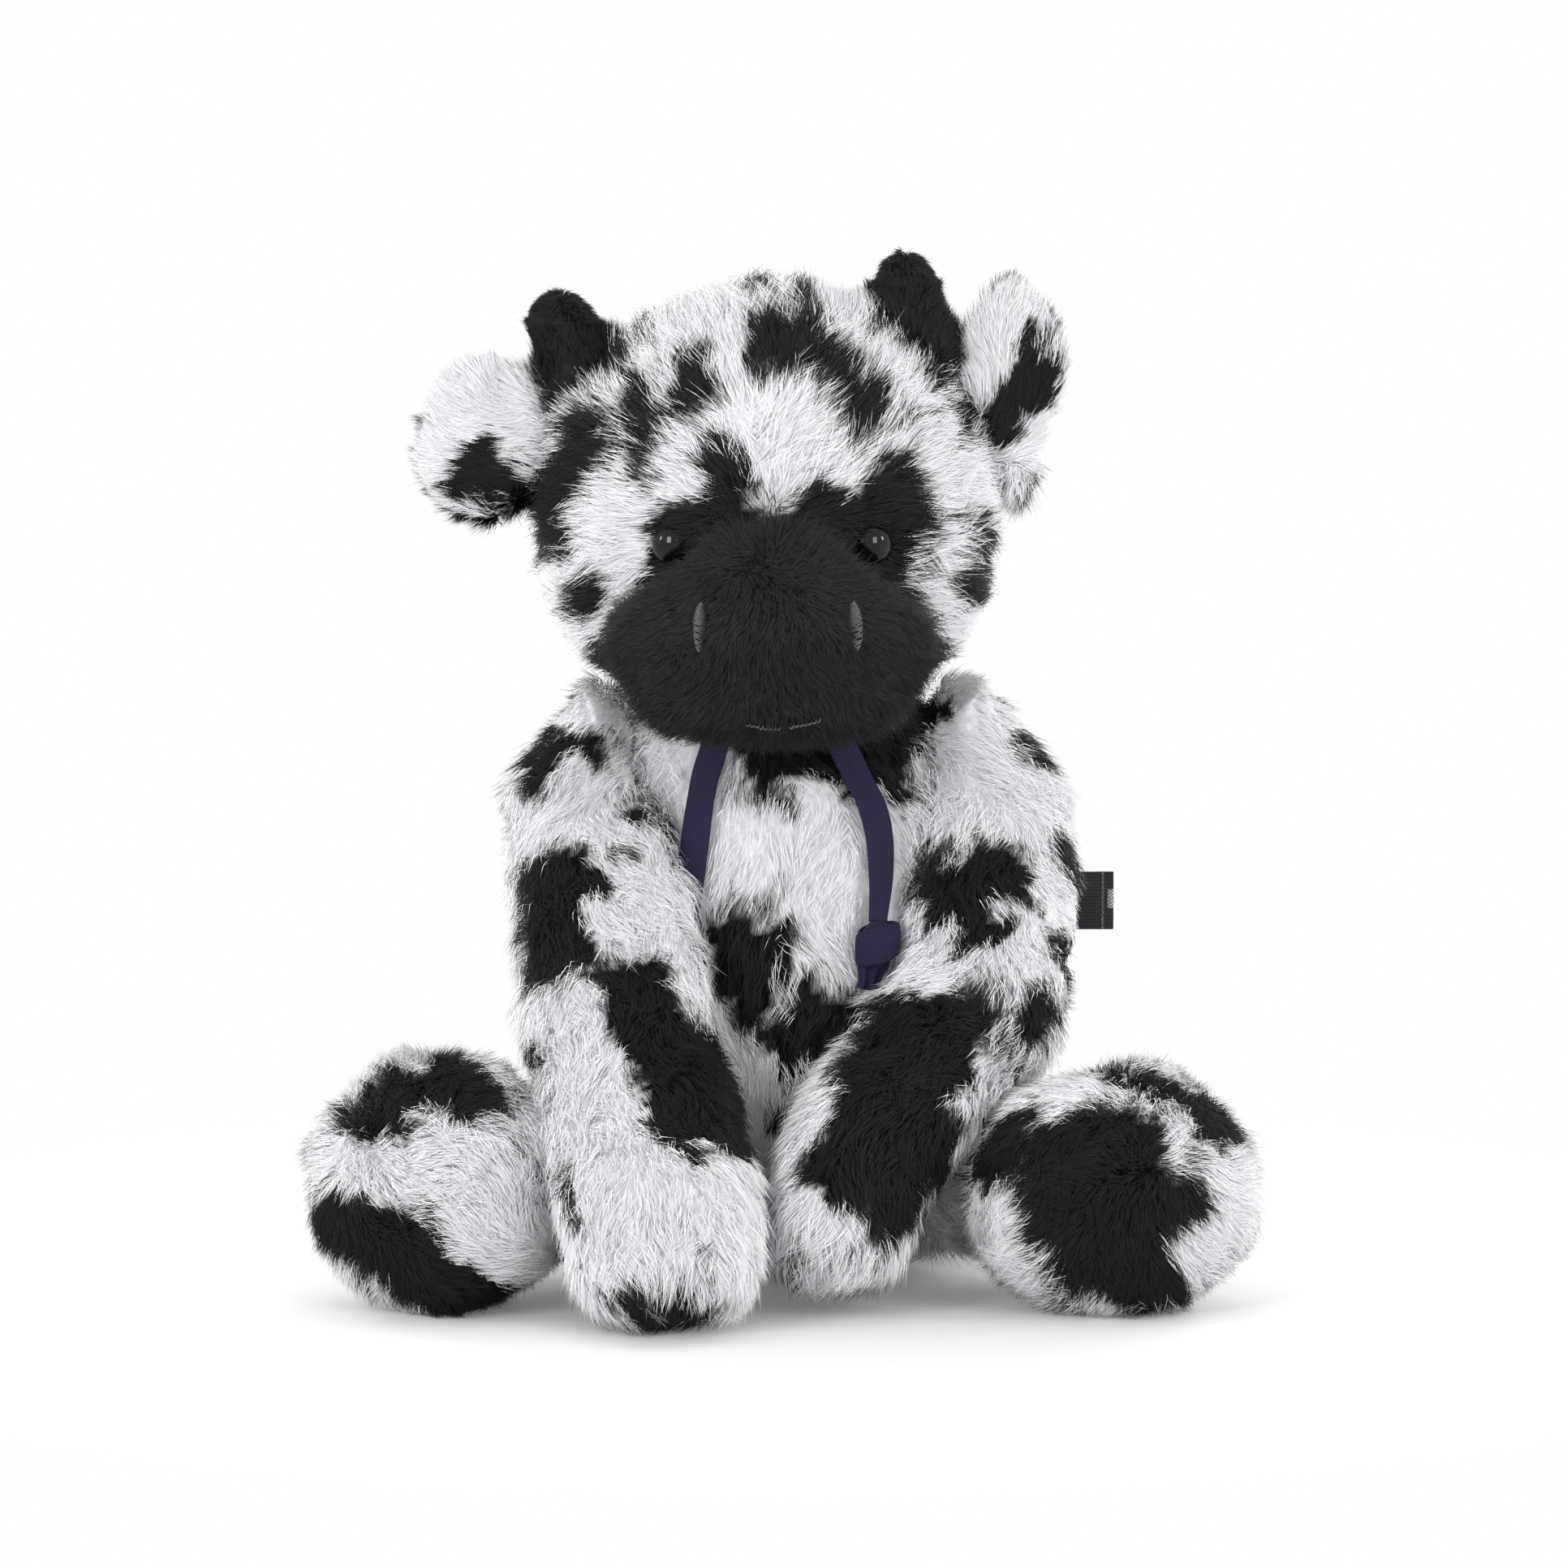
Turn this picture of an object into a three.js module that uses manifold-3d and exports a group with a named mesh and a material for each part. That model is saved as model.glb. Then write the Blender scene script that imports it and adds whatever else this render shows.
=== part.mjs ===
// A seated plush cow, about 32 cm tall, as it is cut, stuffed and sewn.
// Millimetres, +Z up, the face looks along -Y, so the cow's own left side is at +X.
// The origin lies on the flat that the body sits on, under the neck.
import * as THREE from "three";
import { mergeVertices } from "three/addons/utils/BufferGeometryUtils.js";
import Module from "manifold-3d";

const wasm = await Module();
wasm.setup();

// Clearances and fabric
const touchGap = 0.3;
const fillingGap = 0.6;
const swingGap = 0.8;
const restCut = 0.5;
const overrun = 60;
const longFur = 8;
const shortFur = 4;
const insideShare = 0.55;

// Body: a pear that is widest at the hips
const hipHeight = 36;
const hipWidth = 150;
const hipDepth = 116;
const hipBack = 6;
const bellyHeight = 82;
const bellyWidth = 138;
const bellyDepth = 110;
const bellyBack = 2;
const chestHeight = 124;
const chestWidth = 120;
const chestDepth = 94;
const shoulderHeight = 158;
const shoulderWidth = 110;
const shoulderDepth = 80;
const neckHeight = 179;
const neckWidth = 76;
const neckDepth = 64;
const neckTop = 193;
const neckMouth = 40;
const pelletWidth = 104;
const pelletDepth = 80;
const pelletHeight = 30;

// Head: a ball with full cheeks
const headSide = -5;
const headForward = 8;
const chinHeight = 174;
const jawHeight = 203;
const jawWidth = 132;
const jawDepth = 122;
const cheekHeight = 233;
const cheekWidth = 141;
const cheekDepth = 130;
const browHeight = 268;
const browWidth = 136;
const browDepth = 124;
const crownHeight = 306;
const crownWidth = 122;
const crownDepth = 112;

// Neck joint
const nodHeight = 160;
const nodBack = 2;
const nodDown = 6;
const nodUp = 15;

// Muzzle: short black pile, widest low down
const muzzleSide = -4;
const muzzleBottom = 169;
const muzzleLipHeight = 181;
const muzzleLipWidth = 86;
const muzzleLipReach = 99;
const muzzleNoseHeight = 201;
const muzzleNoseWidth = 104;
const muzzleNoseReach = 110;
const muzzleBridgeHeight = 214;
const muzzleBridgeWidth = 82;
const muzzleBridgeReach = 100;
const muzzleTopHeight = 226;
const muzzleTopWidth = 46;
const muzzleTopReach = 82;
const muzzleTop = 237;
const muzzleRoot = 34;
const muzzleLipRoot = 50;

// Eyes: a glossy dome on a stem, held by a washer behind the fabric
const eyeWidth = 12;
const eyeHeight = 5;
const eyeRim = 1.2;
const eyeSink = 4;
const stemWidth = 4.4;
const stemLength = 14;
const washerWidth = 18;
const washerThickness = 1.6;

// Stitched nose and mouth
const nostrilHeight = 12;
const nostrilWidth = 4;
const stitchThickness = 2;
const stitchProud = 0.8;
const mouthWidth = 18;
const mouthDrop = 1.6;
const mouthThread = 1.4;

// Horns
const hornRootSink = 10;
const hornRightWidth = 27;
const hornRightTipWidth = 22;
const hornRightLength = 33;
const hornRightLean = 26;
const hornLeftWidth = 26;
const hornLeftTipWidth = 21;
const hornLeftLength = 31;
const hornLeftLean = -10;

// Ears: an outer panel and a lining, sewn round their edge
const earThickness = 15;
const earRootSink = 9;
const earRightWidth = 56;
const earRightNeckWidth = 34;
const earRightLength = 42;
const earRightRise = 15;
const earLeftWidth = 34;
const earLeftNeckWidth = 28;
const earLeftLength = 56;
const earLeftSpread = 8;
const earDroopRight = 30;
const earDroopLeft = 25;

// Arms: tubes that bend at the elbow and end in a paw, each run measured from the last point
const armRoot = { inward: 9, up: 19 };
const armRootOut = 5;
const armLift = 35;
const arms = {
  right: {
    side: -1,
    elbow: { inward: 8, forward: 42, down: 60 },
    wrist: { inward: 8, forward: 32, down: 35 },
    paw: { inward: 7, forward: 25, down: 31 },
    tip: { inward: 1, forward: 10, down: 29.5 },
    shoulderWidth: 50,
    shoulderDepth: 46,
    elbowWidth: 56,
    elbowDepth: 46,
    wristWidth: 56,
    wristDepth: 44,
    pawWidth: 58,
    pawDepth: 54,
  },
  left: {
    side: 1,
    elbow: { inward: -1, forward: 40, down: 64 },
    wrist: { inward: 20, forward: 18, down: 20 },
    paw: { inward: 21, forward: 18, down: 36 },
    tip: { inward: 6, forward: 9, down: 28 },
    shoulderWidth: 52,
    shoulderDepth: 46,
    elbowWidth: 56,
    elbowDepth: 46,
    wristWidth: 50,
    wristDepth: 42,
    pawWidth: 46,
    pawDepth: 46,
  },
};

// Legs: short tubes out of the hips, each ending in a big foot that stands on its heel
const legSpread = 25;
const legs = {
  right: {
    side: -1,
    hipOut: 44,
    hipForward: 14,
    footOut: 104,
    footForward: 70,
    footTurn: 30,
    footWidth: 76,
    footHeight: 78,
    footLength: 62,
  },
  left: {
    side: 1,
    hipOut: 44,
    hipForward: 14,
    footOut: 101,
    footForward: 74,
    footTurn: 14,
    footWidth: 82,
    footHeight: 76,
    footLength: 60,
  },
};
const legHeight = 34;
const legWidth = 50;
const ankleSink = 24;
const heelWidth = 64;
const heelHeight = 62;

// Cord round the neck, with two hanging ends that are knotted
const cordWidth = 9;
const cordThickness = 1.8;
const cordLoopClearance = 0.4;
const cordTurn = 20;
const cordLoopShares = [0.745, 0.815];
const knotWebShares = [0.5, 1, 1];
const knotWidth = 13;
const knotHeight = 13;
const knotDepth = 9;
const cordTailLength = 8;
const cordRightRoute = [
  [-19, -34.6, 173],
  [-20, -36.1, 168.5],
  [-21.6, -36.4, 163],
  [-24, -38.1, 155],
  [-26, -40.5, 143],
  [-27.4, -42.1, 131],
  [-28.6, -44.3, 118],
  [-30, -50.2, 107],
];
const cordLeftRoute = [
  [14.6, -35.7, 173],
  [16.4, -37.2, 168.5],
  [19, -37.2, 163],
  [22, -38, 157],
  [26.6, -39.4, 148],
  [29, -40.6, 138],
  [29.4, -42.8, 126],
  [28.4, -49.9, 113.6],
];

// Woven label in the side seam
const labelHeight = 18;
const labelLength = 42;
const labelSink = 4;
const labelThickness = 1.2;

// Tail: a thin tube with a tuft on its end
const tailWidth = 11;
const tailSink = 8;
const tailSwayOut = 30;
const tailSwayIn = 15;
const tailBack = 15;
const tailRise = 25;
const tailReach = 18;
const tuftWidth = 17;
const tuftLength = 34;

// Places on the forms: shares of a form's height, and turns in degrees from the cow's left
const eyeShare = 0.46;
const eyeTurns = { right: 245, left: 298 };
const nostrilShare = 0.402;
const nostrilTurns = { right: 248, left: 297 };
const mouthShare = 0.16;
const mouthTurn = 277;
const hornShares = { right: 0.8, left: 0.875 };
const earShares = { right: 0.6, left: 0.62 };
const sideTurns = { right: 180, left: 0 };
const armShare = 0.65;
const armTurns = { right: 190, left: 350 };
const labelShare = 0.45;
const labelTurn = 14;
const tailShare = 0.16;
const tailTurn = 90;

const acrossX = new THREE.Vector3(1, 0, 0);
const forwardY = new THREE.Vector3(0, -1, 0);
const upZ = new THREE.Vector3(0, 0, 1);

function place(x, y, z) {
  return new THREE.Vector3(x, y, z);
}

// Superellipse rounding that closes a form at both ends of its spine
function roundness(shape, t) {
  const [startShare, endShare] = shape.capShares;
  const bluntness = shape.bluntness ?? 2.3;
  const start = Math.min(1, t / startShare);
  const end = Math.min(1, (1 - t) / endShare);
  const closed = (share) => (1 - (1 - share) ** bluntness) ** (1 / bluntness);
  return closed(start) * closed(end);
}

// A point on the skin of a form: t runs along the spine and turn goes round it
function formPoint(shape, t, turn, grow = 0) {
  const last = shape.spine.length - 1;
  const points = shape.spine.map((point) => point.clone());
  const startWay = points[0].clone().sub(points[1]).normalize();
  const endWay = points[last].clone().sub(points[last - 1]).normalize();
  points[0].addScaledVector(startWay, grow);
  points[last].addScaledVector(endWay, grow);
  const spine = new THREE.CatmullRomCurve3(points, false, shape.curve ?? "catmullrom");
  const girths = shape.widths.map((width, i) => place(width, shape.depths[i], 0));
  const girth = new THREE.CatmullRomCurve3(girths, false, "catmullrom").getPoint(t);
  const tangent = spine.getTangent(t);
  const u = shape.across.clone().addScaledVector(tangent, -shape.across.dot(tangent)).normalize();
  const v = tangent.clone().cross(u);
  const swell = roundness(shape, t);
  const point = spine.getPoint(t);
  point.addScaledVector(u, swell * (girth.x / 2 + grow) * Math.cos(turn));
  point.addScaledVector(v, swell * (girth.y / 2 + grow) * Math.sin(turn));
  return point;
}

// The same point with the direction that faces out of the skin there
function formSeat(shape, t, turnDegrees) {
  const turn = THREE.MathUtils.degToRad(turnDegrees);
  const step = 0.01;
  const point = formPoint(shape, t, turn);
  const along = formPoint(shape, t + step, turn).sub(formPoint(shape, t - step, turn));
  const round = formPoint(shape, t, turn + step).sub(formPoint(shape, t, turn - step));
  return { point, out: round.cross(along).normalize() };
}

// A stuffed form: rings of corners along a curved spine, closed by a pole at each end
function stuffedGeometry(shape, grow = 0, finenessShare = 1) {
  const rings = Math.ceil(shape.rings * finenessShare);
  const sides = Math.ceil(shape.sides * finenessShare);
  const stops = [];
  for (let ring = 1; ring < rings; ring += 1) {
    const even = ring / rings;
    stops.push(0.5 * even + 0.25 * (1 - Math.cos(Math.PI * even)));
  }
  if (shape.rimShare) {
    stops.unshift(shape.rimShare);
  }
  const positions = [...formPoint(shape, 0, 0, grow)];
  for (const t of stops) {
    for (let side = 0; side < sides; side += 1) {
      positions.push(...formPoint(shape, t, (2 * Math.PI * side) / sides, grow));
    }
  }
  positions.push(...formPoint(shape, 1, 0, grow));
  const index = [];
  const endPole = 1 + stops.length * sides;
  for (let side = 0; side < sides; side += 1) {
    const next = (side + 1) % sides;
    index.push(0, 1 + next, 1 + side);
    for (let ring = 0; ring < stops.length - 1; ring += 1) {
      const low = 1 + ring * sides;
      const high = low + sides;
      index.push(low + side, low + next, high + next);
      index.push(low + side, high + next, high + side);
    }
    const top = endPole - sides;
    index.push(top + side, top + next, endPole);
  }
  const geometry = new THREE.BufferGeometry();
  geometry.setAttribute("position", new THREE.Float32BufferAttribute(positions, 3));
  geometry.setIndex(index);
  return geometry;
}

// A closed geometry as a solid that can be cut and joined
function solidOf(geometry) {
  const bare = geometry.clone();
  bare.deleteAttribute("normal");
  bare.deleteAttribute("uv");
  const merged = mergeVertices(bare);
  const corners = merged.index.array;
  const kept = [];
  for (let i = 0; i < corners.length; i += 3) {
    const [a, b, c] = [corners[i], corners[i + 1], corners[i + 2]];
    if (a !== b && b !== c && c !== a) {
      kept.push(a, b, c);
    }
  }
  const vertProperties = new Float32Array(merged.attributes.position.array);
  const triVerts = new Uint32Array(kept);
  return new wasm.Manifold(new wasm.Mesh({ numProp: 3, vertProperties, triVerts }));
}

function stuffed(shape, grow = 0) {
  return solidOf(stuffedGeometry(shape, grow));
}

// The hollow inside a skin, with fewer corners than the skin's outside
function inside(shape, depth) {
  return solidOf(stuffedGeometry(shape, -depth, insideShare));
}

// The filling of that hollow, a little smaller all round
function fillingOf(shape, depth) {
  const geometry = stuffedGeometry(shape, -depth, insideShare);
  geometry.computeVertexNormals();
  const { position, normal } = geometry.attributes;
  for (let i = 0; i < position.count; i += 1) {
    const corner = new THREE.Vector3().fromBufferAttribute(position, i);
    const out = new THREE.Vector3().fromBufferAttribute(normal, i);
    position.setXYZ(i, ...corner.addScaledVector(out, -fillingGap));
  }
  return solidOf(geometry);
}

// A solid turned about a hinge
function turned(solid, pivot, axis, degrees) {
  const matrix = new THREE.Matrix4().makeTranslation(pivot);
  matrix.multiply(new THREE.Matrix4().makeRotationAxis(axis, THREE.MathUtils.degToRad(degrees)));
  matrix.multiply(new THREE.Matrix4().makeTranslation(pivot.clone().negate()));
  return solid.transform(matrix.elements);
}

// Cuts away all that a neighbour would touch while the solid turns on its hinge
function clearedOf(solid, neighbours, hinge) {
  let result = solid;
  for (const degrees of hinge.stops) {
    for (const neighbour of neighbours) {
      result = result.subtract(turned(neighbour, hinge.pivot, hinge.axis, -degrees));
    }
  }
  return result;
}

// Stops for a hinge that turns from one limit to the other
function hingeStops(from, to, steps) {
  return Array.from({ length: steps + 1 }, (_, i) => from + ((to - from) * i) / steps);
}

// A block between two opposite corners
function blockBetween(low, high) {
  const size = high.clone().sub(low);
  const block = new THREE.BoxGeometry(size.x, size.y, size.z);
  block.translate((low.x + high.x) / 2, (low.y + high.y) / 2, (low.z + high.z) / 2);
  return solidOf(block);
}

const group = new THREE.Group();

function addPiece(name, solid, look) {
  const mesh = solid.getMesh();
  const geometry = new THREE.BufferGeometry();
  geometry.setAttribute("position", new THREE.BufferAttribute(new Float32Array(mesh.vertProperties), 3));
  geometry.setIndex(new THREE.BufferAttribute(new Uint32Array(mesh.triVerts), 1));
  geometry.computeVertexNormals();
  const material = new THREE.MeshStandardMaterial(look);
  const piece = new THREE.Mesh(geometry, material);
  piece.name = name;
  group.add(piece);
}

const whiteFur = { color: 0xf1eff2, roughness: 0.95, metalness: 0 };
const blackPile = { color: 0x161618, roughness: 0.95, metalness: 0 };
const fibre = { color: 0xf7f7f4, roughness: 1, metalness: 0 };
const pelletCloth = { color: 0xd9d6cc, roughness: 0.9, metalness: 0 };
const eyeGloss = { color: 0x120d0b, roughness: 0.08, metalness: 0 };
const washerPlastic = { color: 0xe6e6e2, roughness: 0.4, metalness: 0 };
const greyThread = { color: 0xb9b9bd, roughness: 0.55, metalness: 0 };
const navyCord = { color: 0x28234b, roughness: 0.8, metalness: 0 };
const blackWeave = { color: 0x26262a, roughness: 0.75, metalness: 0 };

// Body form
const bodyForm = {
  spine: [
    place(0, hipBack, -restCut),
    place(0, hipBack, hipHeight),
    place(0, bellyBack, bellyHeight),
    place(0, 0, chestHeight),
    place(0, 0, shoulderHeight),
    place(0, 0, neckHeight),
    place(0, 0, neckTop),
  ],
  widths: [hipWidth, hipWidth, bellyWidth, chestWidth, shoulderWidth, neckWidth, neckWidth],
  depths: [hipDepth, hipDepth, bellyDepth, chestDepth, shoulderDepth, neckDepth, neckDepth],
  across: acrossX,
  capShares: [0.17, 0.2],
  rimShare: 0.0022,
  rings: 12,
  sides: 18,
};

// Head form
const headForm = {
  spine: [
    place(headSide, -headForward, chinHeight),
    place(headSide, -headForward, jawHeight),
    place(headSide, -headForward, cheekHeight),
    place(headSide, -headForward, browHeight),
    place(headSide, -headForward, crownHeight),
  ],
  widths: [jawWidth, jawWidth, cheekWidth, browWidth, crownWidth],
  depths: [jawDepth, jawDepth, cheekDepth, browDepth, crownDepth],
  across: acrossX,
  capShares: [0.36, 0.46],
  bluntness: 2.1,
  rings: 12,
  sides: 18,
};

// Muzzle form: its back is buried in the head and its front reaches forward
function muzzleStation(height, reach, root = muzzleRoot) {
  return place(muzzleSide, -(reach + root) / 2, height);
}
const muzzleForm = {
  spine: [
    muzzleStation(muzzleBottom, muzzleLipReach, muzzleLipRoot),
    muzzleStation(muzzleLipHeight, muzzleLipReach, muzzleLipRoot),
    muzzleStation(muzzleNoseHeight, muzzleNoseReach),
    muzzleStation(muzzleBridgeHeight, muzzleBridgeReach),
    muzzleStation(muzzleTopHeight, muzzleTopReach),
    muzzleStation(muzzleTop, muzzleTopReach),
  ],
  widths: [
    muzzleLipWidth,
    muzzleLipWidth,
    muzzleNoseWidth,
    muzzleBridgeWidth,
    muzzleTopWidth,
    muzzleTopWidth,
  ],
  depths: [
    muzzleLipReach - muzzleLipRoot,
    muzzleLipReach - muzzleLipRoot,
    muzzleNoseReach - muzzleRoot,
    muzzleBridgeReach - muzzleRoot,
    muzzleTopReach - muzzleRoot,
    muzzleTopReach - muzzleRoot,
  ],
  across: acrossX,
  capShares: [0.2, 0.2],
  rings: 10,
  sides: 18,
};

// Body: skin, fibre and a bag of pellets in the seat
const floorSpan = hipWidth + overrun;
const floor = blockBetween(place(-floorSpan, -floorSpan, -overrun), place(floorSpan, floorSpan, 0));
const bodyClear = stuffed(bodyForm, swingGap);
const headNear = stuffed(headForm, touchGap);

const neckPlug = new THREE.CylinderGeometry(neckMouth / 2, neckMouth / 2, 4 * longFur, 20);
neckPlug.rotateX(Math.PI / 2);
neckPlug.translate(0, 0, neckTop);
const labelSeat = formSeat(bodyForm, labelShare, labelTurn);

// Label: a ribbon folded back on itself, its ends sewn into the seam
function labelGeometry(grow) {
  const half = labelThickness / 2 + grow;
  const outline = new THREE.Shape();
  outline.moveTo(-labelSink - grow, -half);
  outline.lineTo(labelLength - half, -half);
  outline.absarc(labelLength - half, 0, half, -Math.PI / 2, Math.PI / 2, false);
  outline.lineTo(-labelSink - grow, half);
  const tab = new THREE.ExtrudeGeometry(outline, {
    depth: labelHeight + 2 * grow,
    bevelEnabled: false,
    curveSegments: 3,
  });
  tab.translate(0, 0, -labelHeight / 2 - grow);
  tab.translate(labelSeat.point.x, labelSeat.point.y, labelSeat.point.z);
  return tab;
}

const bodyShell = stuffed(bodyForm).subtract(inside(bodyForm, longFur));
addPiece(
  "body_skin",
  bodyShell.subtract(floor).subtract(solidOf(neckPlug)).subtract(solidOf(labelGeometry(touchGap))),
  whiteFur,
);
const pelletForm = {
  spine: [
    place(0, hipBack, 0),
    place(0, hipBack, longFur + pelletHeight / 2),
    place(0, hipBack, longFur + pelletHeight),
  ],
  widths: [pelletWidth, pelletWidth, pelletWidth],
  depths: [pelletDepth, pelletDepth, pelletDepth],
  across: acrossX,
  capShares: [0.4, 0.5],
  rings: 7,
  sides: 16,
};
const bodyInside = fillingOf(bodyForm, longFur);
addPiece("seat_pellet_bag", stuffed(pelletForm).intersect(bodyInside), pelletCloth);
addPiece("body_filling", bodyInside.subtract(stuffed(pelletForm, touchGap)), fibre);

// Eyes: seats on the face, with the line that each stem follows
const eyeSeats = {
  right: formSeat(headForm, eyeShare, eyeTurns.right),
  left: formSeat(headForm, eyeShare, eyeTurns.left),
};

function aimed(geometry, seat, sink) {
  geometry.applyQuaternion(new THREE.Quaternion().setFromUnitVectors(place(0, 1, 0), seat.out));
  const base = seat.point.clone().addScaledVector(seat.out, -sink);
  geometry.translate(base.x, base.y, base.z);
  return geometry;
}

// Dome and stem as one turned shape, standing on its flange
function eyeGeometry(grow = 0) {
  const dome = [];
  const domeSteps = 4;
  for (let step = 0; step <= domeSteps; step += 1) {
    const angle = (Math.PI / 2) * (step / domeSteps);
    const radius = (eyeWidth / 2 + grow) * Math.cos(angle);
    dome.push(new THREE.Vector2(radius, (eyeHeight - eyeRim + grow) * Math.sin(angle) + eyeRim));
  }
  const stem = stemWidth / 2 + grow;
  return new THREE.LatheGeometry(
    [
      new THREE.Vector2(0, -stemLength - grow),
      new THREE.Vector2(stem, -stemLength - grow),
      new THREE.Vector2(stem, -grow),
      new THREE.Vector2(eyeWidth / 2 + grow, -grow),
      ...dome.slice(0, -1),
      new THREE.Vector2(0, eyeHeight + grow),
    ],
    12,
  );
}

function washerGeometry() {
  const inner = stemWidth / 2 + touchGap;
  const outer = washerWidth / 2;
  return new THREE.LatheGeometry(
    [
      new THREE.Vector2(inner, -washerThickness),
      new THREE.Vector2(outer, -washerThickness),
      new THREE.Vector2(outer, 0),
      new THREE.Vector2(inner, 0),
      new THREE.Vector2(inner, -washerThickness),
    ],
    12,
  );
}

// Head: skin and fibre, open where the neck stands in it
const nod = {
  pivot: place(0, nodBack, nodHeight),
  axis: acrossX,
  stops: hingeStops(-nodUp, nodDown, 3),
};
const loopClear = solidOf(loopGeometry(swingGap));
const neckClear = [bodyClear, loopClear];
let headSkin = stuffed(headForm).subtract(inside(headForm, longFur));
headSkin = clearedOf(headSkin, neckClear, nod);
let headFilling = clearedOf(fillingOf(headForm, longFur), neckClear, nod);
let muzzleSkin = stuffed(muzzleForm).subtract(inside(muzzleForm, shortFur)).subtract(headNear);
let muzzleFilling = fillingOf(muzzleForm, shortFur).subtract(headNear);

for (const side of ["left", "right"]) {
  const seat = eyeSeats[side];
  addPiece(`eye_${side}`, solidOf(aimed(eyeGeometry(), seat, eyeSink)), eyeGloss);
  const washerSink = longFur + 2 * touchGap;
  addPiece(`eye_washer_${side}`, solidOf(aimed(washerGeometry(), seat, washerSink)), washerPlastic);
  const seatHole = solidOf(aimed(eyeGeometry(touchGap), seat, eyeSink));
  headSkin = headSkin.subtract(seatHole);
  muzzleSkin = muzzleSkin.subtract(seatHole);
  muzzleFilling = muzzleFilling.subtract(seatHole);
  const pocketWidth = washerWidth + 2 * touchGap;
  const pocketDepth = stemLength + eyeSink - longFur;
  const pocketShape = new THREE.CylinderGeometry(pocketWidth / 2, pocketWidth / 2, pocketDepth, 12);
  pocketShape.translate(0, -pocketDepth / 2, 0);
  const pocket = solidOf(aimed(pocketShape, seat, washerSink - touchGap));
  headSkin = headSkin.subtract(pocket);
  headFilling = headFilling.subtract(pocket);
}

// Nostrils and mouth, stitched into the muzzle
function nostrilGeometry(seat, mirror, grow) {
  const tall = nostrilHeight / 2 + grow;
  const outline = new THREE.Shape();
  outline.moveTo(0, -tall);
  outline.quadraticCurveTo(nostrilWidth + grow, 0, 0, tall);
  outline.quadraticCurveTo(-nostrilWidth / 2 - grow, 0, 0, -tall);
  const thick = stitchThickness + 2 * grow;
  const patch = new THREE.ExtrudeGeometry(outline, { depth: thick, bevelEnabled: false, curveSegments: 6 });
  patch.scale(mirror, 1, 1);
  patch.translate(0, 0, stitchProud - stitchThickness - grow);
  return facing(patch, seat, mirror);
}

// Stands a flat patch upright on a seat, its front along the seat's outward line
function facing(geometry, seat, mirror = 1) {
  const side = upZ.clone().cross(seat.out).normalize();
  const up = seat.out.clone().cross(side);
  const frame = new THREE.Matrix4().makeBasis(side, up, seat.out);
  if (mirror < 0) {
    const index = geometry.index;
    if (index) {
      index.array.reverse();
    } else {
      flipped(geometry);
    }
  }
  geometry.applyMatrix4(frame);
  geometry.translate(seat.point.x, seat.point.y, seat.point.z);
  return geometry;
}

// Turns the faces of a mirrored geometry outward again
function flipped(geometry) {
  const position = geometry.attributes.position;
  for (let i = 0; i < position.count; i += 3) {
    const first = place(position.getX(i), position.getY(i), position.getZ(i));
    position.setXYZ(i, position.getX(i + 1), position.getY(i + 1), position.getZ(i + 1));
    position.setXYZ(i + 1, first.x, first.y, first.z);
  }
}

for (const [side, mirror] of [["left", 1], ["right", -1]]) {
  const seat = formSeat(muzzleForm, nostrilShare, nostrilTurns[side]);
  addPiece(`nostril_${side}`, solidOf(nostrilGeometry(seat, mirror, 0)), greyThread);
  muzzleSkin = muzzleSkin.subtract(solidOf(nostrilGeometry(seat, mirror, touchGap)));
}

const mouthSeat = formSeat(muzzleForm, mouthShare, mouthTurn);

function mouthGeometry(grow) {
  const half = mouthWidth / 2 + grow;
  const path = new THREE.QuadraticBezierCurve3(
    place(-half, mouthDrop, 0),
    place(0, -mouthDrop, 2 * mouthThread),
    place(half, mouthDrop, 0),
  );
  const section = new THREE.Shape();
  section.absarc(0, 0, mouthThread / 2 + grow, 0, 2 * Math.PI, false);
  const thread = new THREE.ExtrudeGeometry(section, { steps: 8, extrudePath: path, curveSegments: 4 });
  return facing(thread, mouthSeat);
}
addPiece("mouth_stitch", solidOf(mouthGeometry(0)), greyThread);
muzzleSkin = muzzleSkin.subtract(solidOf(mouthGeometry(touchGap)));

addPiece("head_skin", headSkin, whiteFur);
addPiece("head_filling", headFilling, fibre);
addPiece("muzzle_skin", muzzleSkin, blackPile);
addPiece("muzzle_filling", muzzleFilling, fibre);

// Horns: stubby cones rooted in the top of the head
function hornForm(side, width, tipWidth, length, lean) {
  const name = side < 0 ? "right" : "left";
  const seat = formSeat(headForm, hornShares[name], sideTurns[name]);
  const way = THREE.MathUtils.degToRad(lean);
  const up = place(side * Math.sin(way), 0, Math.cos(way));
  const root = seat.point.clone().addScaledVector(up, -hornRootSink);
  return {
    spine: [
      root,
      seat.point.clone(),
      seat.point.clone().addScaledVector(up, length / 2),
      seat.point.clone().addScaledVector(up, length),
    ],
    widths: [width, width, (width + tipWidth) / 2, tipWidth],
    depths: [width, width, (width + tipWidth) / 2, tipWidth],
    across: acrossX,
    capShares: [0.2, 0.35],
    rings: 8,
    sides: 14,
  };
}
const hornForms = {
  right: hornForm(-1, hornRightWidth, hornRightTipWidth, hornRightLength, hornRightLean),
  left: hornForm(1, hornLeftWidth, hornLeftTipWidth, hornLeftLength, hornLeftLean),
};
for (const side of ["left", "right"]) {
  const form = hornForms[side];
  const skin = stuffed(form).subtract(inside(form, shortFur)).subtract(headNear);
  const filling = fillingOf(form, shortFur).subtract(headNear);
  addPiece(`horn_${side}`, skin, blackPile);
  addPiece(`horn_filling_${side}`, filling, fibre);
}

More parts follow.
